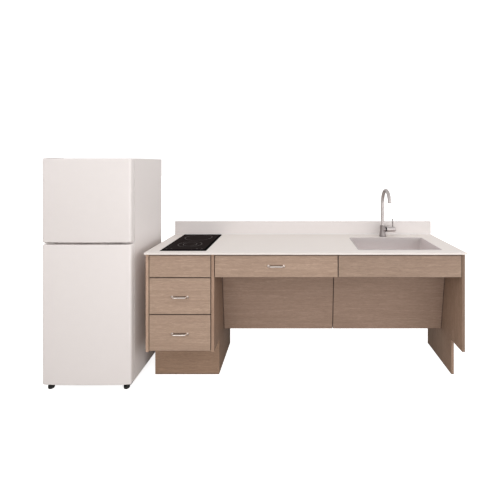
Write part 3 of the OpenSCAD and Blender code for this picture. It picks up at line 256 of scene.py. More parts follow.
OAK_LIGHT = (0.561, 0.4, 0.301)
OAK_DARK = (0.44, 0.305, 0.226)
OAK_ACROSS = 14
# How far the two lines of painted shadow under the worktop's overhang lie below the tops of the fronts
TOP_SHADOW_LINES = (0.0025, 0.0065)
TOP_SHADOW_BOARDS = ("hob_false_front", "sink_false_front", "apron_drawer_front")
# Half the width of the line of painted shade at a board's edges and seams, the shade of the gaps there, and
# where it has faded
EDGE_SHADE_LINE = (0.0014, 0.0026)
# How far back a side's front edge, with its painted light or shade, reaches, and where it has ended
FRONT_EDGE_REACH = (0.0006, 0.0014)
# The painted shadow that a pull casts on its front: how much shorter than the pull its straight part is at
# each end, how far its middle lies below the pull's, its half height where it is full and where it has
# faded, and its strength
PULLED_BOARDS = ("upper_drawer_front", "lower_drawer_front", "apron_drawer_front")
PULL_SHADOW_SHORT = 0.008
PULL_SHADOW_DROP = 0.004
PULL_SHADOW_HALF = (0.004, 0.012)
PULL_SHADOW_STRENGTH = 0.8
# The face of a board that looks into the knee space, 0 its left or 1 its right, and how bright that
# face is painted at its front and at its back, painted light at the front and painted shade at the back;
# then how deep that tone reaches, and where it has ended
KNEE_SIDES = {"base_right_side": (1, 1.15, 0.5), "end_panel": (0, 1.4, 0.66)}
FACE_SKIN = (0.0005, 0.0015)
# The painted contact shadow at the foot of the boards on the floor: its height, where it has faded, and its
# tone
FLOOR_BOARDS = ("base_right_side", "end_panel", "plinth_board")
FOOT_SHADOW = (0.002, 0.011)
FOOT_SHADOW_TONE = (0.5, 0.47, 0.45)

# The lines of painted shade on the knee panels, for the gaps at their joints: half the gap between the two
# panels, and how far in from the outer ends the lines there lie
SEAM_X = middle("apron_divider", 0)
PANEL_HALF_GAP = 0.0015
PANEL_END = 0.004
KNEE_LO, KNEE_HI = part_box("knee_panels")
KNEE_SEAMS = (SEAM_X - PANEL_HALF_GAP, SEAM_X + PANEL_HALF_GAP, KNEE_LO.x + PANEL_END, KNEE_HI.x - PANEL_END)
# Each board's grain, the place of its figure and its tone; the darker, warmer tones of the plinth, the knee
# panels, base_right_side and end_panel are painted shade and bounce light of the recess and knee space. A
# front also has its seams besides its own edges, for lines of painted shade, and a side the painted
# brightness of its front edge against its face.
OAK_BOARDS = {
    "upper_drawer_front": ("x", 3.1, 0.93, ()),
    "lower_drawer_front": ("x", 5.7, 0.92, ()),
    "hob_false_front": ("x", 1.3, 0.93, ()),
    "apron_drawer_front": ("x", 8.2, 0.90, ()),
    "sink_false_front": ("x", 11.9, 0.75, ()),
    "plinth_board": ("x", 14.4, (0.72, 0.665, 0.61)),
    "knee_panels": ("x", 17.3, (0.76, 0.74, 0.75), KNEE_SEAMS),
    "base_left_side": ("z", 2.2, (1.0, 0.98, 0.96), None, 1.08),
    "base_right_side": ("z", 6.6, (0.59, 0.55, 0.53), None, 1.42),
    "end_panel": ("z", 9.5, (0.71, 0.68, 0.66), None, 0.72),
}


def edge_distance(graph, node, seams):
    """Distance to the nearest upright or level edge of a board's face, or to a line drawn on it, for the
    lines of painted shade.
    """
    lo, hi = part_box(node)
    levels = [lo.z, hi.z]
    # Painted shadow of the worktop's overhang: two dark lines near the top of these fronts
    if node in TOP_SHADOW_BOARDS:
        levels += [hi.z - drop for drop in TOP_SHADOW_LINES]
    gaps = [graph.gap(graph.along("X"), x) for x in (lo.x, hi.x, *seams)]
    gaps += [graph.gap(graph.along("Z"), z) for z in levels]
    return graph.fold("MINIMUM", gaps)


def pull_shadow(graph, node):
    """The strength of the painted shadow on the veneer right behind a drawer's pull."""
    pull = node.replace("front", "pull")
    lo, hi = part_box(pull)
    from_middle = graph.gap(graph.along("X"), middle(pull, 0))
    past_end = graph.math("SUBTRACT", from_middle, (hi.x - lo.x) / 2 - PULL_SHADOW_SHORT)
    from_bar = graph.math("SUBTRACT", graph.along("Z"), middle(pull, 2) - PULL_SHADOW_DROP)
    distance = graph.reach(graph.math("MAXIMUM", past_end, 0), from_bar)
    return graph.range(distance, *PULL_SHADOW_HALF, PULL_SHADOW_STRENGTH, 0)


def knee_light_and_shade(graph, node):
    """A factor of painted light and shade on a board's face towards the knee space, brighter at its front
    and darker at its back, and 1 elsewhere.
    """
    side, front, back = KNEE_SIDES[node]
    lo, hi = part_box(node)
    on_face = graph.range(graph.gap(graph.along("X"), (lo, hi)[side].x), *FACE_SKIN, 1, 0)
    fade = graph.range(graph.along("Y"), lo.y, hi.y, front - 1, back - 1)
    return graph.math("ADD", graph.math("MULTIPLY", on_face, fade), 1)


def oak(node, grain, shift, tone, seams=None, edge=None):
    """Matt taupe oak veneer with its grain along one axis: soft figure, fine streaks, rings, flecks and
    open pores. Over it lies painted shade: dark lines along the fronts' edges and seams and under the
    worktop, a painted shadow behind each pull, painted light or shade on the sides' front edges and on their
    faces into the knee space, and a painted contact shadow at the foot of the boards on the floor."""
    graph = Graph("oak_" + node, Specular_IOR_Level=0.3)
    place = graph.mapped(grained(grain, OAK_ACROSS), (shift, shift * 1.7, shift * 2.3))
    streak_place = graph.mapped(grained(grain, OAK_ACROSS / 2), (shift, shift * 1.3, shift))
    fleck_place = graph.mapped(grained(grain, OAK_ACROSS * 0.6), (shift * 0.7, shift * 1.9, shift))
    pore_place = graph.mapped(grained(grain, OAK_ACROSS * 1.5, 1.5), (shift, 0, shift))
    figure = graph.noise(place, scale=2.6, detail=3, roughness=0.5, distortion=1.1)
    streaks = graph.noise(streak_place, scale=34, detail=4, roughness=0.6, distortion=0.6)
    flecks = graph.noise(fleck_place, scale=16, detail=3, roughness=0.6, distortion=1.4)
    pores = graph.noise(pore_place, scale=46, detail=2, roughness=0.5)
    pores = graph.range(pores, 0.55, 0.7, 0, 0.4)
    wave = {"Vector": place, "Scale": 1.1, "Distortion": 11}
    wave.update({"Detail": 3, "Detail Scale": 1.1, "Detail Roughness": 0.6})
    rings = graph.add("TexWave", wave, bands_direction="Z" if grain == "x" else "X").outputs["Fac"]
    dark = shade(OAK_DARK, tone)
    veneer = graph.blend(graph.spread(figure), dark, shade(OAK_LIGHT, tone))
    # The layers over the plain figure, each with where it shows and how dark it is
    layers = [
        (graph.range(streaks, 0.38, 0.68, 0, 0.5), 0.82),
        (graph.range(rings, 0.0, 0.45, 0.15, 0), 0.74),
        (graph.range(flecks, 0.42, 0.6, 0, 0.5), 0.76),
        (pores, 0.6),
    ]
    # Painted shade of the gaps: dark lines along the board's edges and seams, and under the worktop
    if seams is not None:
        layers.append((graph.range(edge_distance(graph, node, seams), *EDGE_SHADE_LINE, 0.75, 0), 0.12))
    # Painted shadow of the pull on the front behind it
    if node in PULLED_BOARDS:
        layers.append((pull_shadow(graph, node), 0.3))
    for strength, depth in layers:
        veneer = graph.blend(strength, veneer, shade(dark, depth))
    # Painted light or shade on a side's front edge, brighter or darker than its face
    if edge is not None:
        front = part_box(node)[0].y
        front_edge_mask = graph.range(graph.along("Y"), *(front + back for back in FRONT_EDGE_REACH), 1, 0)
        veneer = graph.blend(front_edge_mask, veneer, (edge,) * 3, "MULTIPLY")
    # Painted light at the front and painted shade at the back of the face into the knee space
    if node in KNEE_SIDES:
        veneer = graph.blend(1, veneer, knee_light_and_shade(graph, node), "MULTIPLY")
    # Painted contact shadow along the foot of the boards that stand on the floor
    if node in FLOOR_BOARDS:
        foot = graph.range(graph.along("Z"), *FOOT_SHADOW, 1, 0)
        veneer = graph.blend(foot, veneer, FOOT_SHADOW_TONE, "MULTIPLY")
    graph.link("Base Color", veneer)
    graph.link("Roughness", graph.spread(streaks, 0.5, 0.64))
    relief = graph.math("SUBTRACT", graph.math("MULTIPLY", streaks, 0.35), pores)
    graph.bump(relief, strength=0.35, distance=0.00025)
    return graph.material


# Other boards

# Where the painted shade at the front of the rails, behind the gaps of the fronts, gives way to the bare
# board, from front to back
GAP_SHADE_TO_BARE = (-0.22, -0.2)


def birch_board():
    """Pale varnished birch with its grain across the unit."""
    graph = Graph("birch_board", Specular_IOR_Level=0.35)
    place = graph.mapped(grained("x", 10))
    figure = graph.noise(place, scale=4, detail=4, roughness=0.5, distortion=0.8)
    fibres = graph.noise(place, scale=40)
    base = graph.blend(graph.spread(figure), (0.56, 0.43, 0.29), (0.66, 0.53, 0.38))
    graph.link("Base Color", graph.blend(graph.range(fibres, 0.4, 0.7, 0, 0.3), base, (0.46, 0.34, 0.22)))
    graph.link("Roughness", graph.spread(fibres, 0.4, 0.5))
    graph.bump(fibres, strength=0.15, distance=0.0002)
    return graph.material


def rail_board():
    """Lacquered board, near black at the front as painted shade of the gaps between the fronts, and bare
    behind.
    """
    graph = Graph("rail_board", Specular_IOR_Level=0.3)
    fibres = graph.noise(graph.mapped(grained("x", 12)), scale=30)
    bare = graph.blend(graph.spread(fibres), (0.50, 0.375, 0.255), (0.60, 0.47, 0.33))
    black = graph.blend(graph.spread(fibres), (0.035, 0.028, 0.024), (0.05, 0.04, 0.034))
    # Painted shade at the front, where the rails show through the gaps
    graph.link("Base Color", graph.blend(graph.range(graph.along("Y"), *GAP_SHADE_TO_BARE), black, bare))
    graph.link("Roughness", graph.spread(fibres, 0.5, 0.6))
    graph.bump(fibres, strength=0.15, distance=0.0002)
    return graph.material


# Moulded, cast and coated surfaces

WORKTOP_TONES = ((0.81, 0.747, 0.706), (0.795, 0.732, 0.69))
# The backsplash's white is a darker, cooler copy of the worktop's, as painted shade
SPLASH_SHADE_TINT = (0.82, 0.832, 0.86)
SPLASH_SHADED_TONES = tuple(shade(tone, SPLASH_SHADE_TINT) for tone in WORKTOP_TONES)
# Each material's light and dark tones, its roughness, and the scale and strength of its grain
SPECKLED = {
    "worktop_white": (*WORKTOP_TONES, 0.42, 1400, 0.02),
    "splash_white": (*SPLASH_SHADED_TONES, 0.42, 1400, 0.02),
    "white_plastic": ((0.80, 0.80, 0.79), (0.76, 0.76, 0.75), 0.4, 900, 0.05),
    "black_plastic": ((0.022, 0.021, 0.021), (0.014, 0.013, 0.013), 0.5, 1200, 0.15),
    "element_white": ((0.74, 0.71, 0.66), (0.62, 0.59, 0.54), 0.85, 400, 0.4),
    "fridge_paint": ((0.82, 0.768, 0.75), (0.805, 0.753, 0.735), 0.4, 1100, 0.05),
    "liner_plastic": ((0.84, 0.83, 0.815), (0.828, 0.818, 0.803), 0.3, 500, 0.03),
    "gasket": ((0.25, 0.243, 0.236), (0.21, 0.204, 0.198), 0.6, 600, 0.2),
    "compressor_black": ((0.03, 0.03, 0.03), (0.02, 0.02, 0.02), 0.45, 700, 0.2),
    "knob_grey": ((0.25, 0.26, 0.27), (0.21, 0.22, 0.23), 0.45, 900, 0.1),
    # Dark brown for the divider and cleats behind the fronts' gaps: painted shade of those gaps
    "gap_shade_board": ((0.12, 0.085, 0.064), (0.09, 0.063, 0.046), 0.6, 500, 0.1),
}
CLEAR_TINT = (0.90, 0.95, 0.96)


def speckled(name, light, dark, rough, scale, strength):
    """A plain moulded, cast or coated surface with fine mottling."""
    graph = Graph(name)
    fine = graph.noise(graph.place, scale, detail=2)
    broad = graph.noise(graph.place, scale / 60)
    mottle = graph.range(graph.math("ADD", fine, broad), 0.7, 1.3)
    graph.link("Base Color", graph.blend(mottle, dark, light))
    graph.link("Roughness", graph.spread(broad, rough - 0.04, rough + 0.04))
    graph.bump(fine, strength, distance=0.0002)
    return graph.material


def clear_plastic():
    """Clear moulded plastic with faint flow marks."""
    graph = Graph("clear_plastic", Transmission_Weight=0.85, IOR=1.35)
    flow = graph.noise(graph.place, scale=30, detail=2)
    graph.link("Base Color", graph.blend(graph.spread(flow), shade(CLEAR_TINT, 0.97), CLEAR_TINT))
    graph.link("Roughness", graph.spread(flow, 0.06, 0.11))
    return graph.material


# Metals

# Each material's tone, its roughness, the axis of its hairlines and how much they darken it
BRUSHED = {
    "zinc_plate": ((0.56, 0.57, 0.58), 0.38, "y", 0.12),
    "tap_steel": ((0.555, 0.513, 0.504), 0.55, "z", 0.06),
    "tap_body_steel": ((0.295, 0.265, 0.26), 0.5, "z", 0.2),
    "pull_nickel": ((0.80, 0.73, 0.69), 0.36, "x", 0.06),
}
SINK_TONE = (0.765, 0.70, 0.69)
SINK_SHADED = (0.535, 0.49, 0.482)
SINK_HAIRLINE = (0.36, 0.325, 0.318)
# How far below the rim the painted shade starts and where it is full, and how far in from the right end
# the plain tone comes back and where it is full, so that the wall there has no painted shade
SINK_SHADE_BELOW = (0.10, 0.006)
UNSHADED_RIGHT_WALL = (0.0125, 0.0095)
HAIRLINES_ACROSS = 40


def hairlines(graph, grain, smear_scale, low, high):
    """Fine lines along one axis. They set the roughness, with broad smears over them."""
    place = graph.mapped(grained(grain, HAIRLINES_ACROSS))
    lines = graph.noise(place, scale=24, roughness=0.6)
    smears = graph.noise(graph.place, smear_scale)
    smeared = graph.range(smears, 0.35, 0.65, -0.03, 0.03)
    graph.link("Roughness", graph.math("ADD", graph.spread(lines, low, high), smeared))
    return lines


def brushed(name, colour, rough, grain, contrast):
    """Brushed metal with hairlines along one axis."""
    graph = Graph(name, Metallic=1.0, Anisotropic=0.3)
    lines = hairlines(graph, grain, 9, rough - 0.05, rough + 0.05)
    tone = graph.spread(lines, 1 - contrast, 1)
    graph.link("Base Color", graph.blend(tone, shade(colour, 0.75), colour))
    graph.bump(lines, strength=0.08, distance=0.0001)
    return graph.material


def sink_steel():
    """Satin steel with painted shade: darker towards the top of the walls, but for the right wall, which
    keeps the plain tone.
    """
    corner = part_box("sink_bowl")[1]
    graph = Graph("sink_steel", Metallic=0.35, Anisotropic=0.2)
    lines = hairlines(graph, "x", 7, 0.55, 0.62)
    top_shade = graph.range(graph.along("Z"), *(corner.z - drop for drop in SINK_SHADE_BELOW))
    at_right = graph.range(graph.along("X"), *(corner.x - inset for inset in UNSHADED_RIGHT_WALL))
    # Painted shade towards the top of the walls, left off the right wall
    walls = graph.blend(top_shade, SINK_TONE, SINK_SHADED)
    steel = graph.blend(at_right, walls, SINK_TONE)
    graph.link("Base Color", graph.blend(graph.spread(lines, 0.1, 0), steel, SINK_HAIRLINE))
    graph.bump(lines, strength=0.06, distance=0.0001)
    return graph.material


# Hob glass

# The two zones, each with its middle as a share of the glass's depth, and the radii of its rings
HOB_ZONES = ((0.32, (0.083, 0.048)), (0.755, (0.104,)))
# Half the width of a ring's line, and where it has faded; then its strength where the ring crosses
# the middle, and at its sides
RING_HALF = (0.0012, 0.0024)
RING_STRENGTH = (0.35, 1)
# The spots at the front edge: how far they lie to each side of the middle and behind the edge, and
# the radii where they are full and where they have faded
SPOTS_ASIDE = (0.0875, 0.122)
SPOTS_BEHIND = 0.034
SPOT_R = (0.0045, 0.006)
# The black border of the glass: where it ends and where the ground is full
HOB_BORDER = (0.014, 0.020)
HOB_BLACK = (0.0016, 0.0014, 0.0014)
HOB_GROUND = (0.0155, 0.0105, 0.0102)
HOB_INK = (0.17, 0.16, 0.155)


def hob_glass():
    """Polished black glass ceramic with fine printed rings round the two zones."""
    lo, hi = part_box("hob_glass")
    depth = hi.y - lo.y
    graph = Graph("hob_black", IOR=1.015, Specular_IOR_Level=0.4)
    across = graph.gap(graph.along("X"), middle("hob_glass", 0))
    prints = []
    for share, radii in HOB_ZONES:
        along = graph.math("SUBTRACT", graph.along("Y"), lo.y + depth * share)
        from_middle = graph.reach(across, along)
        for radius in radii:
            ring = graph.range(graph.gap(from_middle, radius), *RING_HALF, 1, 0)
            strength = graph.range(across, 0, radius, *RING_STRENGTH)
            prints.append(graph.math("MULTIPLY", ring, strength))
    for aside in SPOTS_ASIDE:
        behind = graph.gap(graph.along("Y"), lo.y + SPOTS_BEHIND)
        spot = graph.reach(graph.gap(across, aside), behind)
        prints.append(graph.range(spot, *SPOT_R, 0.9, 0))
    edge_x = graph.math("SUBTRACT", (hi.x - lo.x) / 2, across)
    edge_y = graph.math("SUBTRACT", depth / 2, graph.gap(graph.along("Y"), middle("hob_glass", 1)))
    inside = graph.range(graph.math("MINIMUM", edge_x, edge_y), *HOB_BORDER)
    ground = graph.blend(inside, HOB_BLACK, HOB_GROUND)
    specks = graph.noise(graph.place, scale=700, detail=2)
    ink = graph.math("MULTIPLY", graph.fold("MAXIMUM", prints), graph.range(specks, 0.35, 0.65, 0.5, 1))
    graph.link("Base Color", graph.blend(ink, ground, HOB_INK))
    graph.link("Roughness", graph.range(ink, 0, 1, 0.14, 0.4))
    return graph.material


def make_materials():
    """Every material but the oak, by name."""
    made = {name: speckled(name, *look) for name, look in SPECKLED.items()}
    made.update({name: brushed(name, *look) for name, look in BRUSHED.items()})
    made.update(birch_board=birch_board(), rail_board=rail_board(), clear_plastic=clear_plastic())
    made.update(sink_steel=sink_steel(), hob_black=hob_glass())
    return made


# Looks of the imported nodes

# Nodes whose look isn't that of their slot
OWN_LOOKS = {
    "tap_body": "tap_body_steel",
    "tap_lever": "tap_body_steel",
    "thermostat_knob": "knob_grey",
    "door_hinges": "fridge_paint",
    "backsplash": "splash_white",
    # The rails, the divider and the cleats behind the fronts' gaps are darkened there as painted shade of
    # the gaps
    "base_rails": "rail_board",
    "apron_rails": "rail_board",
    "apron_divider": "gap_shade_board",
    "knee_panel_cleats": "gap_shade_board",
}
# The widths that the edges of boards and panels are eased by
EASED = {
    0.0008: ("plinth_board", "end_panel", "base_left_side", "base_right_side", "knee_panels"),
    0.001: ("hob_false_front", "sink_false_front", *PULLED_BOARDS),
    0.0015: ("backsplash",),
    0.0018: ("worktop",),
    0.003: ("fridge_cabinet",),
}
WELD_REACH = 0.00002
EASE_ANGLE = 50


def dress_nodes():
    """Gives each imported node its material."""
    for entry in frame["record"]["subparts"]:
        node = entry["node"]
        if node in OAK_BOARDS:
            material = oak(node, *OAK_BOARDS[node])
        else:
            material = materials[OWN_LOOKS.get(node, entry["material_slot"])]
        slots = NODES[node].data.materials
        slots.clear()
        slots.append(material)


def ease_edges():
    """Rounds the edges of the boards and panels a little, by modifiers."""
    for width, nodes in EASED.items():
        for node in nodes:
            weld = NODES[node].modifiers.new("weld", "WELD")
            weld.merge_threshold = WELD_REACH
            bevel = NODES[node].modifiers.new("ease", "BEVEL")
            bevel.width = width
            bevel.segments = 2
            bevel.limit_method = "ANGLE"
            bevel.angle_limit = math.radians(EASE_ANGLE)
            bevel.harden_normals = True


# Mesh helpers

# The least angle of a sharp edge, in degrees
SHARP = 35
# The length of a bar's drawn-in ends, and the size of its end faces as a share of its outline
BAR_EASE = 0.0006
BAR_END = 0.8
PATH_STEPS = 8
PIPE_SIDES = 16


def make_piece(name, points, faces, slot, body, replaced=None, sharp=SHARP):
    """A mesh object that rides on a body, in its slot's material, smooth but for edges over an angle."""
    mesh = bpy.data.meshes.new(name)
    mesh.from_pydata([tuple(point) for point in points], [], faces)
    mesh.validate()
    mesh.polygons.foreach_set("use_smooth", [True] * len(mesh.polygons))
    mesh.set_sharp_from_angle(angle=math.radians(sharp))
    mesh.materials.append(materials[slot])
    made = new_object(name, mesh)
    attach(made, body)
    if replaced:
        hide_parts(replaced)
    return made


def loft(rings, closed=False):
    """Points and faces of a skin over rings of the same number of points, with caps or closed on itself."""
    count = len(rings[0])
    points = [point for ring in rings for point in ring]
    faces = []
    for k in range(len(rings) if closed else len(rings) - 1):
        a, b = k * count, (k + 1) % len(rings) * count
        for i in range(count):
            j = (i + 1) % count
            faces.append((a + i, a + j, b + j, b + i))
    if not closed:
        last = (len(rings) - 1) * count
        faces.append(tuple(reversed(range(count))))
        faces.append(tuple(range(last, last + count)))
    return points, faces


def turns(sides):
    """Evenly spread angles of a full turn, in radians."""
    return [math.tau * k / sides for k in range(sides)]


def arc(centre, radius, start, sweep, steps):
    """Points of an arc in a plane, angles in degrees."""
    points = []
    for i in range(steps + 1):
        a = math.radians(start + sweep * i / steps)
        points.append((centre[0] + radius * math.cos(a), centre[1] + radius * math.sin(a)))
    return points


def rounded_rectangle(x0, x1, y0, y1, r, steps=8):
    """The outline of a rectangle with round corners, from its right side on, anticlockwise."""
    corners = ((x1 - r, y1 - r), (x0 + r, y1 - r), (x0 + r, y0 + r), (x1 - r, y0 + r))
    return [point for k, corner in enumerate(corners) for point in arc(corner, r, 90 * k, 90, steps)]


def make_bar(name, x0, x1, outline, slot, body):
    """A bar along X with an outline of (y, z) pairs, a little drawn in at its ends."""
    centre = [sum(pair[i] for pair in outline) / len(outline) for i in (0, 1)]
    small = [tuple(m + (c - m) * BAR_END for c, m in zip(pair, centre)) for pair in outline]
    stations = ((x0, small), (x0 + BAR_EASE, outline), (x1 - BAR_EASE, outline), (x1, small))
    rings = [[(x, y, z) for y, z in shape] for x, shape in stations]
    make_piece(name, *loft(rings), slot, body)


def make_tube(name, points, radii, slot, sides):
    """A round tube along points, with a radius for each, that rides on the unit."""
    rings = []
    side = None
    for i, (point, radius) in enumerate(zip(points, radii)):
        along = (points[min(i + 1, len(points) - 1)] - points[max(i - 1, 0)]).normalized()
        side = along.orthogonal() if side is None else side - along * side.dot(along)
        side.normalize()
        up = along.cross(side)
        rings.append([point + (side * math.cos(a) + up * math.sin(a)) * radius for a in turns(sides)])
    make_piece(name, *loft(rings), slot, "unit")


def smooth_path(points):
    """A Catmull-Rom curve through points."""
    ends = [Vector(point) for point in (points[0], *points, points[-1])]
    path = []
    for a, b, c, d in zip(ends, ends[1:], ends[2:], ends[3:]):
        for k in range(PATH_STEPS):
            t = k / PATH_STEPS
            path.append(b + (c - a) * (t / 2) + (a * 2 - b * 5 + c * 4 - d) * (t * t / 2)
                        + (b * 3 - a - c * 3 + d) * (t ** 3 / 2))
    return path + [ends[-1]]


def cut_boxes(piece, boxes):
    """Cuts boxes, each a pair of corners, out of a piece's mesh."""
    for lo, hi in boxes:
        mesh = bpy.data.meshes.new("cutter")
        block = bmesh.new()
        bmesh.ops.create_cube(block, size=1)
        for corner in block.verts:
            corner.co = Vector((lo[i] if corner.co[i] < 0 else hi[i] for i in range(3)))
        block.to_mesh(mesh)
        block.free()
        cutter = new_object("cutter", mesh)
        modifier = piece.modifiers.new("cut", "BOOLEAN")
        modifier.operation = "DIFFERENCE"
        modifier.solver = "EXACT"
        modifier.object = cutter
        bpy.context.view_layer.update()
        evaluated = piece.evaluated_get(bpy.context.evaluated_depsgraph_get())
        solid = bpy.data.meshes.new_from_object(evaluated)
        piece.modifiers.clear()
        piece.data = solid
        bpy.data.objects.remove(cutter)
    piece.data.set_sharp_from_angle(angle=math.radians(SHARP))


# Fridge doors

DOOR_BOW = 0.007
DOOR_SIDE_R = 0.015
DOOR_EDGE_R = 0.007
DOOR_EDGE_STEPS = 6
DOOR_SIDE_STEPS = 8
DOOR_FRONT_STEPS = 30
DOOR_PAN = 0.0033
DOOR_SKIN = 0.0018
GRIP_X = (-0.982, -0.852)
GRIP_Y = (-0.300, -0.276)
GRIP_DEPTH = 0.022
# How far a cutter reaches past the surface that it opens
PAST = 0.01


def door_outline(lo, hi, inset):
    """The door's outline from above, drawn in all round but at its rear face."""
    centre_x = (lo.x + hi.x) / 2
    half = (hi.x - lo.x) / 2
    bow_r = (half * half + DOOR_BOW * DOOR_BOW) / (2 * DOOR_BOW)
    bow_y = lo.y + bow_r
    corner_x = half - DOOR_SIDE_R
    corner_y = bow_y - math.sqrt((bow_r - DOOR_SIDE_R) ** 2 - corner_x ** 2)
    edge = math.degrees(math.atan2(corner_x, bow_y - corner_y))
    r = DOOR_SIDE_R - inset
    right = arc((centre_x + corner_x, corner_y), r, 0, edge - 90, DOOR_SIDE_STEPS)
    front = arc((centre_x, bow_y), bow_r - inset, edge - 90, -2 * edge, DOOR_FRONT_STEPS)
    left = arc((centre_x - corner_x, corner_y), r, -90 - edge, edge - 90, DOOR_SIDE_STEPS)
    return [(hi.x - inset, hi.y)] + right + front[1:-1] + left + [(lo.x + inset, hi.y)]


def make_door(name, node, body, grip_at_top):
    """A bowed door skin with round edges, a recess for its liner and a grip pocket."""
    lo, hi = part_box(node)
    lower = []
    for k in range(DOOR_EDGE_STEPS, -1, -1):
        a = math.radians(90 * k / DOOR_EDGE_STEPS)
        lower.append((lo.z + DOOR_EDGE_R * (1 - math.sin(a)), DOOR_EDGE_R * (1 - math.cos(a))))
    upper = [(lo.z + hi.z - z, inset) for z, inset in reversed(lower)]
    rings = [[(x, y, z) for x, y in door_outline(lo, hi, inset)] for z, inset in lower + upper]
    door = make_piece(name, *loft(rings), "fridge_paint", body, node)
    grip_z = (hi.z - GRIP_DEPTH, hi.z + PAST) if grip_at_top else (lo.z - PAST, lo.z + GRIP_DEPTH)
    recess_lo = (lo.x + DOOR_SKIN, hi.y - DOOR_PAN, lo.z + DOOR_SKIN)
    recess_hi = (hi.x - DOOR_SKIN, hi.y + PAST, hi.z - DOOR_SKIN)
    grip = tuple(zip(GRIP_X, GRIP_Y, grip_z))
    cut_boxes(door, [(recess_lo, recess_hi), grip])


# Sink

SINK_RIM = 0.009
SINK_RIM_T = 0.002
# The rim's outer edge, as steps of how far it is drawn in and how far it lies below the top
SINK_RIM_EDGE = ((0, SINK_RIM_T), (0.0006, 0.0008), (0.002, 0))
SINK_WALL = 0.0012
SINK_LIP = 0.0025
SINK_CORNER = 0.014
SINK_FILLET = 0.014
# How much the bowl's corners tighten over the rolled edge of the floor
SINK_TIGHTEN = SINK_FILLET * 0.3
DRAIN_R = 0.0455
SINK_SHARP = 50


def make_sink():
    """A pressed bowl with a soft lip, rounded corners and a rolled floor edge round its drain."""
    lo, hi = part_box("sink_bowl")
    floor_z = lo.z + SINK_WALL
    x0, x1 = lo.x + SINK_RIM, hi.x - SINK_RIM
    y0, y1 = lo.y + SINK_RIM, hi.y - SINK_RIM

    def ring(grow, z, r):
        """The bowl's outline at a height, grown outwards, with a corner radius."""
        outline = rounded_rectangle(x0 - grow, x1 + grow, y0 - grow, y1 + grow, r)
        return [(x, y, z) for x, y in outline]

    def lip(degrees):
        """A step of the turn from the rim down into the bowl."""
        a = math.radians(degrees)
        z = hi.z - SINK_LIP + SINK_LIP * math.cos(a)
        return ring(SINK_LIP - SINK_LIP * math.sin(a), z, SINK_CORNER)

    def rolled(degrees, outside):
        """A step of the turn from the wall to the floor, on the inner skin or one that lies outside it."""
        a = math.radians(degrees)
        z = floor_z - outside + SINK_FILLET * (1 - math.sin(a))
        r = SINK_CORNER + outside - SINK_TIGHTEN * degrees / 90
        return ring(outside - SINK_FILLET * (1 - math.cos(a)), z, r)

    def hole(z):
        """The drain's circle at a height, with as many points as the bowl's outline."""
        outline = rounded_rectangle(-1, 1, -1, 1, 0.999)
        centre_x, centre_y = middle("sink_strainer", 0), middle("sink_strainer", 1)
        return [(centre_x + DRAIN_R * x, centre_y + DRAIN_R * y, z) for x, y in outline]

    rings = []
    for drawn, drop in SINK_RIM_EDGE:
        rings.append(ring(SINK_RIM - drawn, hi.z - drop, SINK_CORNER + SINK_RIM - drawn))
    rings += [lip(degrees) for degrees in (0, 22, 45, 68, 90)]
    rings += [rolled(degrees, 0) for degrees in (0, 15, 30, 45, 60, 75, 90)]
    rings += [hole(floor_z), hole(floor_z - SINK_WALL)]
    rings += [rolled(degrees, SINK_WALL) for degrees in (90, 60, 30, 0)]
    rings.append(ring(SINK_WALL, hi.z - SINK_RIM_T, SINK_CORNER + SINK_WALL))
    make_piece("sink_basin", *loft(rings, closed=True), "sink_steel", "unit", "sink_bowl", SINK_SHARP)


# Seals and trims

BEAD_R = 0.0035
BEAD_SHORT = 0.001
# The tap's foot seal, as steps of its reach past the foot and its height over the worktop
FOOT_SEAL = ((0.0002, 0), (0.0016, 0), (0.0016, 0.001), (0.001, 0.0018), (0.0002, 0.0018))
SEAL_SIDES = 56
# A shelf's trim: its reach from the shelf's front edge and top, its corners, and how much shorter than
# the shelf it is at each end. A bin's lip: its reach from the bin's front and top, and its corners.
SHELF_TOPS = (0.339, 0.549, 0.739)
SHELF_TRIM_Y = (-0.0015, 0.009)
SHELF_TRIM_Z = (-0.0175, 0.0015)
SHELF_TRIM_R = 0.0015
SHELF_TRIM_SHORT = 0.0005
BIN_TOPS = (0.217, 0.5255, 0.834)
BIN_LIP_Y = (-0.0065, 0.0015)
BIN_LIP_Z = (-0.003, 0.002)
BIN_LIP_R = 0.002
TRIM_STEPS = 4
# The bend of the spout: its middle in Y and Z, its radius, and its sweep in degrees
BEND_Y = 0.118
BEND_Z = 1.187
BEND_R = 0.107
BEND_SWEEP = 165
# The rings of the aerator's insert, as radii and places along the spout past the end of the bend
AERATOR_RINGS = (
    (0.0103, 0.0061), (0.0103, 0.0068), (0.0085, 0.0072), (0.0075, 0.0066), (0.006, 0.0072),
    (0.005, 0.0066), (0.0035, 0.0072), (0.0025, 0.0066), (0.001, 0.0072),
)
AERATOR_SIDES = 32


def make_seals():
    """The sealant bead under the backsplash and the tap's foot seal."""
    lo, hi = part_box("backsplash")
    hollow = arc((lo.y - BEAD_R, lo.z + BEAD_R), BEAD_R, -90, 90, 6)
    outline = [(lo.y, lo.z), *reversed(hollow)]
    make_bar("splash_bead", lo.x + BEAD_SHORT, hi.x - BEAD_SHORT, outline, "white_plastic", "unit")
    foot_lo, foot_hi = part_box("tap_body")
    foot_r = (foot_hi.x - foot_lo.x) / 2
    x, y = middle("tap_body", 0), middle("tap_body", 1)
    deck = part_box("worktop")[1].z
    rings = []
    for past, height in FOOT_SEAL:
        r = foot_r + past
        z = deck + height
        rings.append([(x + r * math.cos(a), y + r * math.sin(a), z) for a in turns(SEAL_SIDES)])
    make_piece("tap_foot_seal", *loft(rings, closed=True), "black_plastic", "unit")


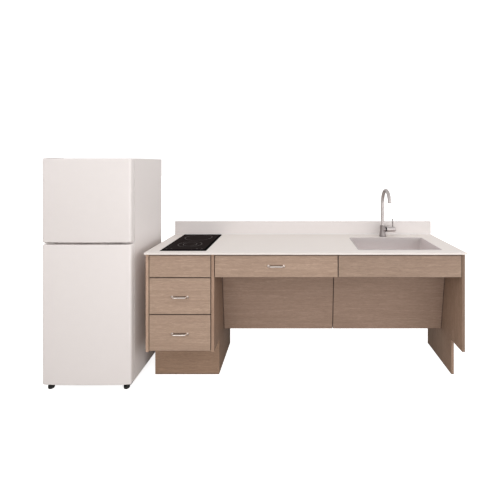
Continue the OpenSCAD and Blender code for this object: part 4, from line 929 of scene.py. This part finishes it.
def trim_outline(y, z, reach_y, reach_z, r):
    """The outline of a trim that reaches some way from an edge at (y, z)."""
    return rounded_rectangle(y + reach_y[0], y + reach_y[1], z + reach_z[0], z + reach_z[1], r, TRIM_STEPS)


def make_shelf_trims():
    """Front trims of the fridge's shelves and lips of its door bins."""
    lo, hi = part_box("fridge_shelves")
    x0, x1 = lo.x + SHELF_TRIM_SHORT, hi.x - SHELF_TRIM_SHORT
    for k, top in enumerate(SHELF_TOPS, 1):
        outline = trim_outline(lo.y, top, SHELF_TRIM_Y, SHELF_TRIM_Z, SHELF_TRIM_R)
        make_bar("shelf_trim_%d" % k, x0, x1, outline, "white_plastic", "unit")
    lo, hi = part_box("fridge_door_bins")
    for k, top in enumerate(BIN_TOPS, 1):
        outline = trim_outline(hi.y, top, BIN_LIP_Y, BIN_LIP_Z, BIN_LIP_R)
        make_bar("bin_lip_%d" % k, lo.x, hi.x, outline, "white_plastic", "fridge_door")


def make_aerator_insert():
    """The ringed insert in the aerator's mouth, square to the end of the spout's bend."""
    a = math.radians(BEND_SWEEP)
    end = Vector((middle("tap_aerator", 0), BEND_Y + BEND_R * math.cos(a), BEND_Z + BEND_R * math.sin(a)))
    down = Vector((0, -math.sin(a), math.cos(a)))
    across = Vector((1, 0, 0))
    side = across.cross(down)
    rings = []
    for r, past in AERATOR_RINGS:
        centre = end + down * past
        spokes = [across * math.cos(t) + side * math.sin(t) for t in turns(AERATOR_SIDES)]
        rings.append([centre + spoke * r for spoke in spokes])
    make_piece("aerator_insert", *loft(rings), "black_plastic", "spout")


# Pipes of the cooling machine

COIL_PIPE_R = 0.0025
CAPILLARY_R = 0.0012
CAPILLARY_SIDES = 10
SUCTION_R = 0.0046
# The pipes' plane behind the cabinet, the riser at its left and the top of the machine's bay
COIL_Y = 0.249
RISER_X = -1.378
BAY_TOP = 0.2375
# How far in from the condenser's box the ends of its coil lie, from the left and from top and bottom
COIL_END_X = 0.0664
COIL_END_Z = 0.012
# The drier's middle, its top, its height, its radius and its sides
DRIER_X = -1.345
DRIER_Y = 0.222
DRIER_TOP = 0.178
DRIER_H = 0.08
DRIER_R = 0.0085
DRIER_SIDES = 24
# The suction stub of the compressor
STUB_Y = 0.11
STUB_Z = 0.1475


def make_pipe(name, route, radius, sides=PIPE_SIDES):
    """A black pipe along a smooth route."""
    path = smooth_path(route)
    make_tube(name, path, [radius] * len(path), "compressor_black", sides)


def make_pipes():
    """Discharge, liquid, capillary and suction pipes of the cooling machine, with the drier."""
    coil_lo, coil_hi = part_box("condenser")
    pot_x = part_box("compressor")[0].x
    coil_x = coil_lo.x + COIL_END_X
    low_z = coil_lo.z + COIL_END_Z
    high_z = coil_hi.z - COIL_END_Z
    make_pipe("discharge_pipe", [
        (-1.05, 0.165, 0.155), (-1.062, 0.19, 0.178), (-1.10, 0.235, 0.19), (-1.16, COIL_Y, 0.192),
        (-1.32, COIL_Y, 0.194), (-1.36, COIL_Y, 0.198), (RISER_X, COIL_Y, 0.225), (RISER_X, COIL_Y, 0.5),
        (RISER_X, COIL_Y, 0.9), (RISER_X, COIL_Y, high_z - 0.03), (RISER_X + 0.006, COIL_Y, high_z - 0.007),
        (RISER_X + 0.03, COIL_Y, high_z), (coil_x, COIL_Y, high_z),
    ], COIL_PIPE_R)
    make_pipe("liquid_pipe", [
        (coil_x, COIL_Y, low_z), (-1.32, COIL_Y, low_z), (DRIER_X + 0.004, COIL_Y - 0.001, low_z - 0.008),
        (DRIER_X, COIL_Y - 0.002, low_z - 0.03), (DRIER_X, 0.243, 0.235), (DRIER_X, 0.226, 0.205),
        (DRIER_X, DRIER_Y, DRIER_TOP - 0.002),
    ], COIL_PIPE_R)
    # The drier's shape, as steps of how far below its top they lie and their radii
    stages = (
        (0, 0.0032), (0.004, 0.0036), (0.012, DRIER_R),
        (DRIER_H - 0.012, DRIER_R), (DRIER_H - 0.004, 0.0028), (DRIER_H, 0.002),
    )
    drier = [Vector((DRIER_X, DRIER_Y, DRIER_TOP - drop)) for drop, radius in stages]
    make_tube("drier", drier, [radius for drop, radius in stages], "zinc_plate", DRIER_SIDES)
    make_pipe("capillary_pipe", [
        (DRIER_X, DRIER_Y, DRIER_TOP - DRIER_H + 0.001), (DRIER_X + 0.004, DRIER_Y - 0.004, 0.088),
        (DRIER_X + 0.03, DRIER_Y - 0.03, 0.085), (-1.28, 0.15, 0.12), (-1.262, 0.135, 0.17),
        (-1.26, 0.13, 0.205), (-1.26, 0.13, BAY_TOP),
    ], CAPILLARY_R, CAPILLARY_SIDES)
    make_pipe("suction_pipe", [
        (pot_x + 0.004, STUB_Y, STUB_Z), (pot_x - 0.02, STUB_Y, STUB_Z), (pot_x - 0.045, STUB_Y, 0.152),
        (pot_x - 0.062, STUB_Y, 0.172), (pot_x - 0.066, STUB_Y, 0.2), (pot_x - 0.066, STUB_Y, BAY_TOP),
    ], SUCTION_R)


# The whole scene

make_camera()
make_world()
for light, setting in LIGHTS.items():
    make_light(light, *setting)
make_floor()
materials = make_materials()
dress_nodes()
make_door("fridge_door_skin", "fridge_door_panel", "fridge_door", True)
make_door("freezer_door_skin", "freezer_door_panel", "freezer_door", False)
make_sink()
make_seals()
make_shelf_trims()
make_pipes()
make_aerator_insert()
ease_edges()
bpy.context.scene.view_settings.view_transform = "Standard"
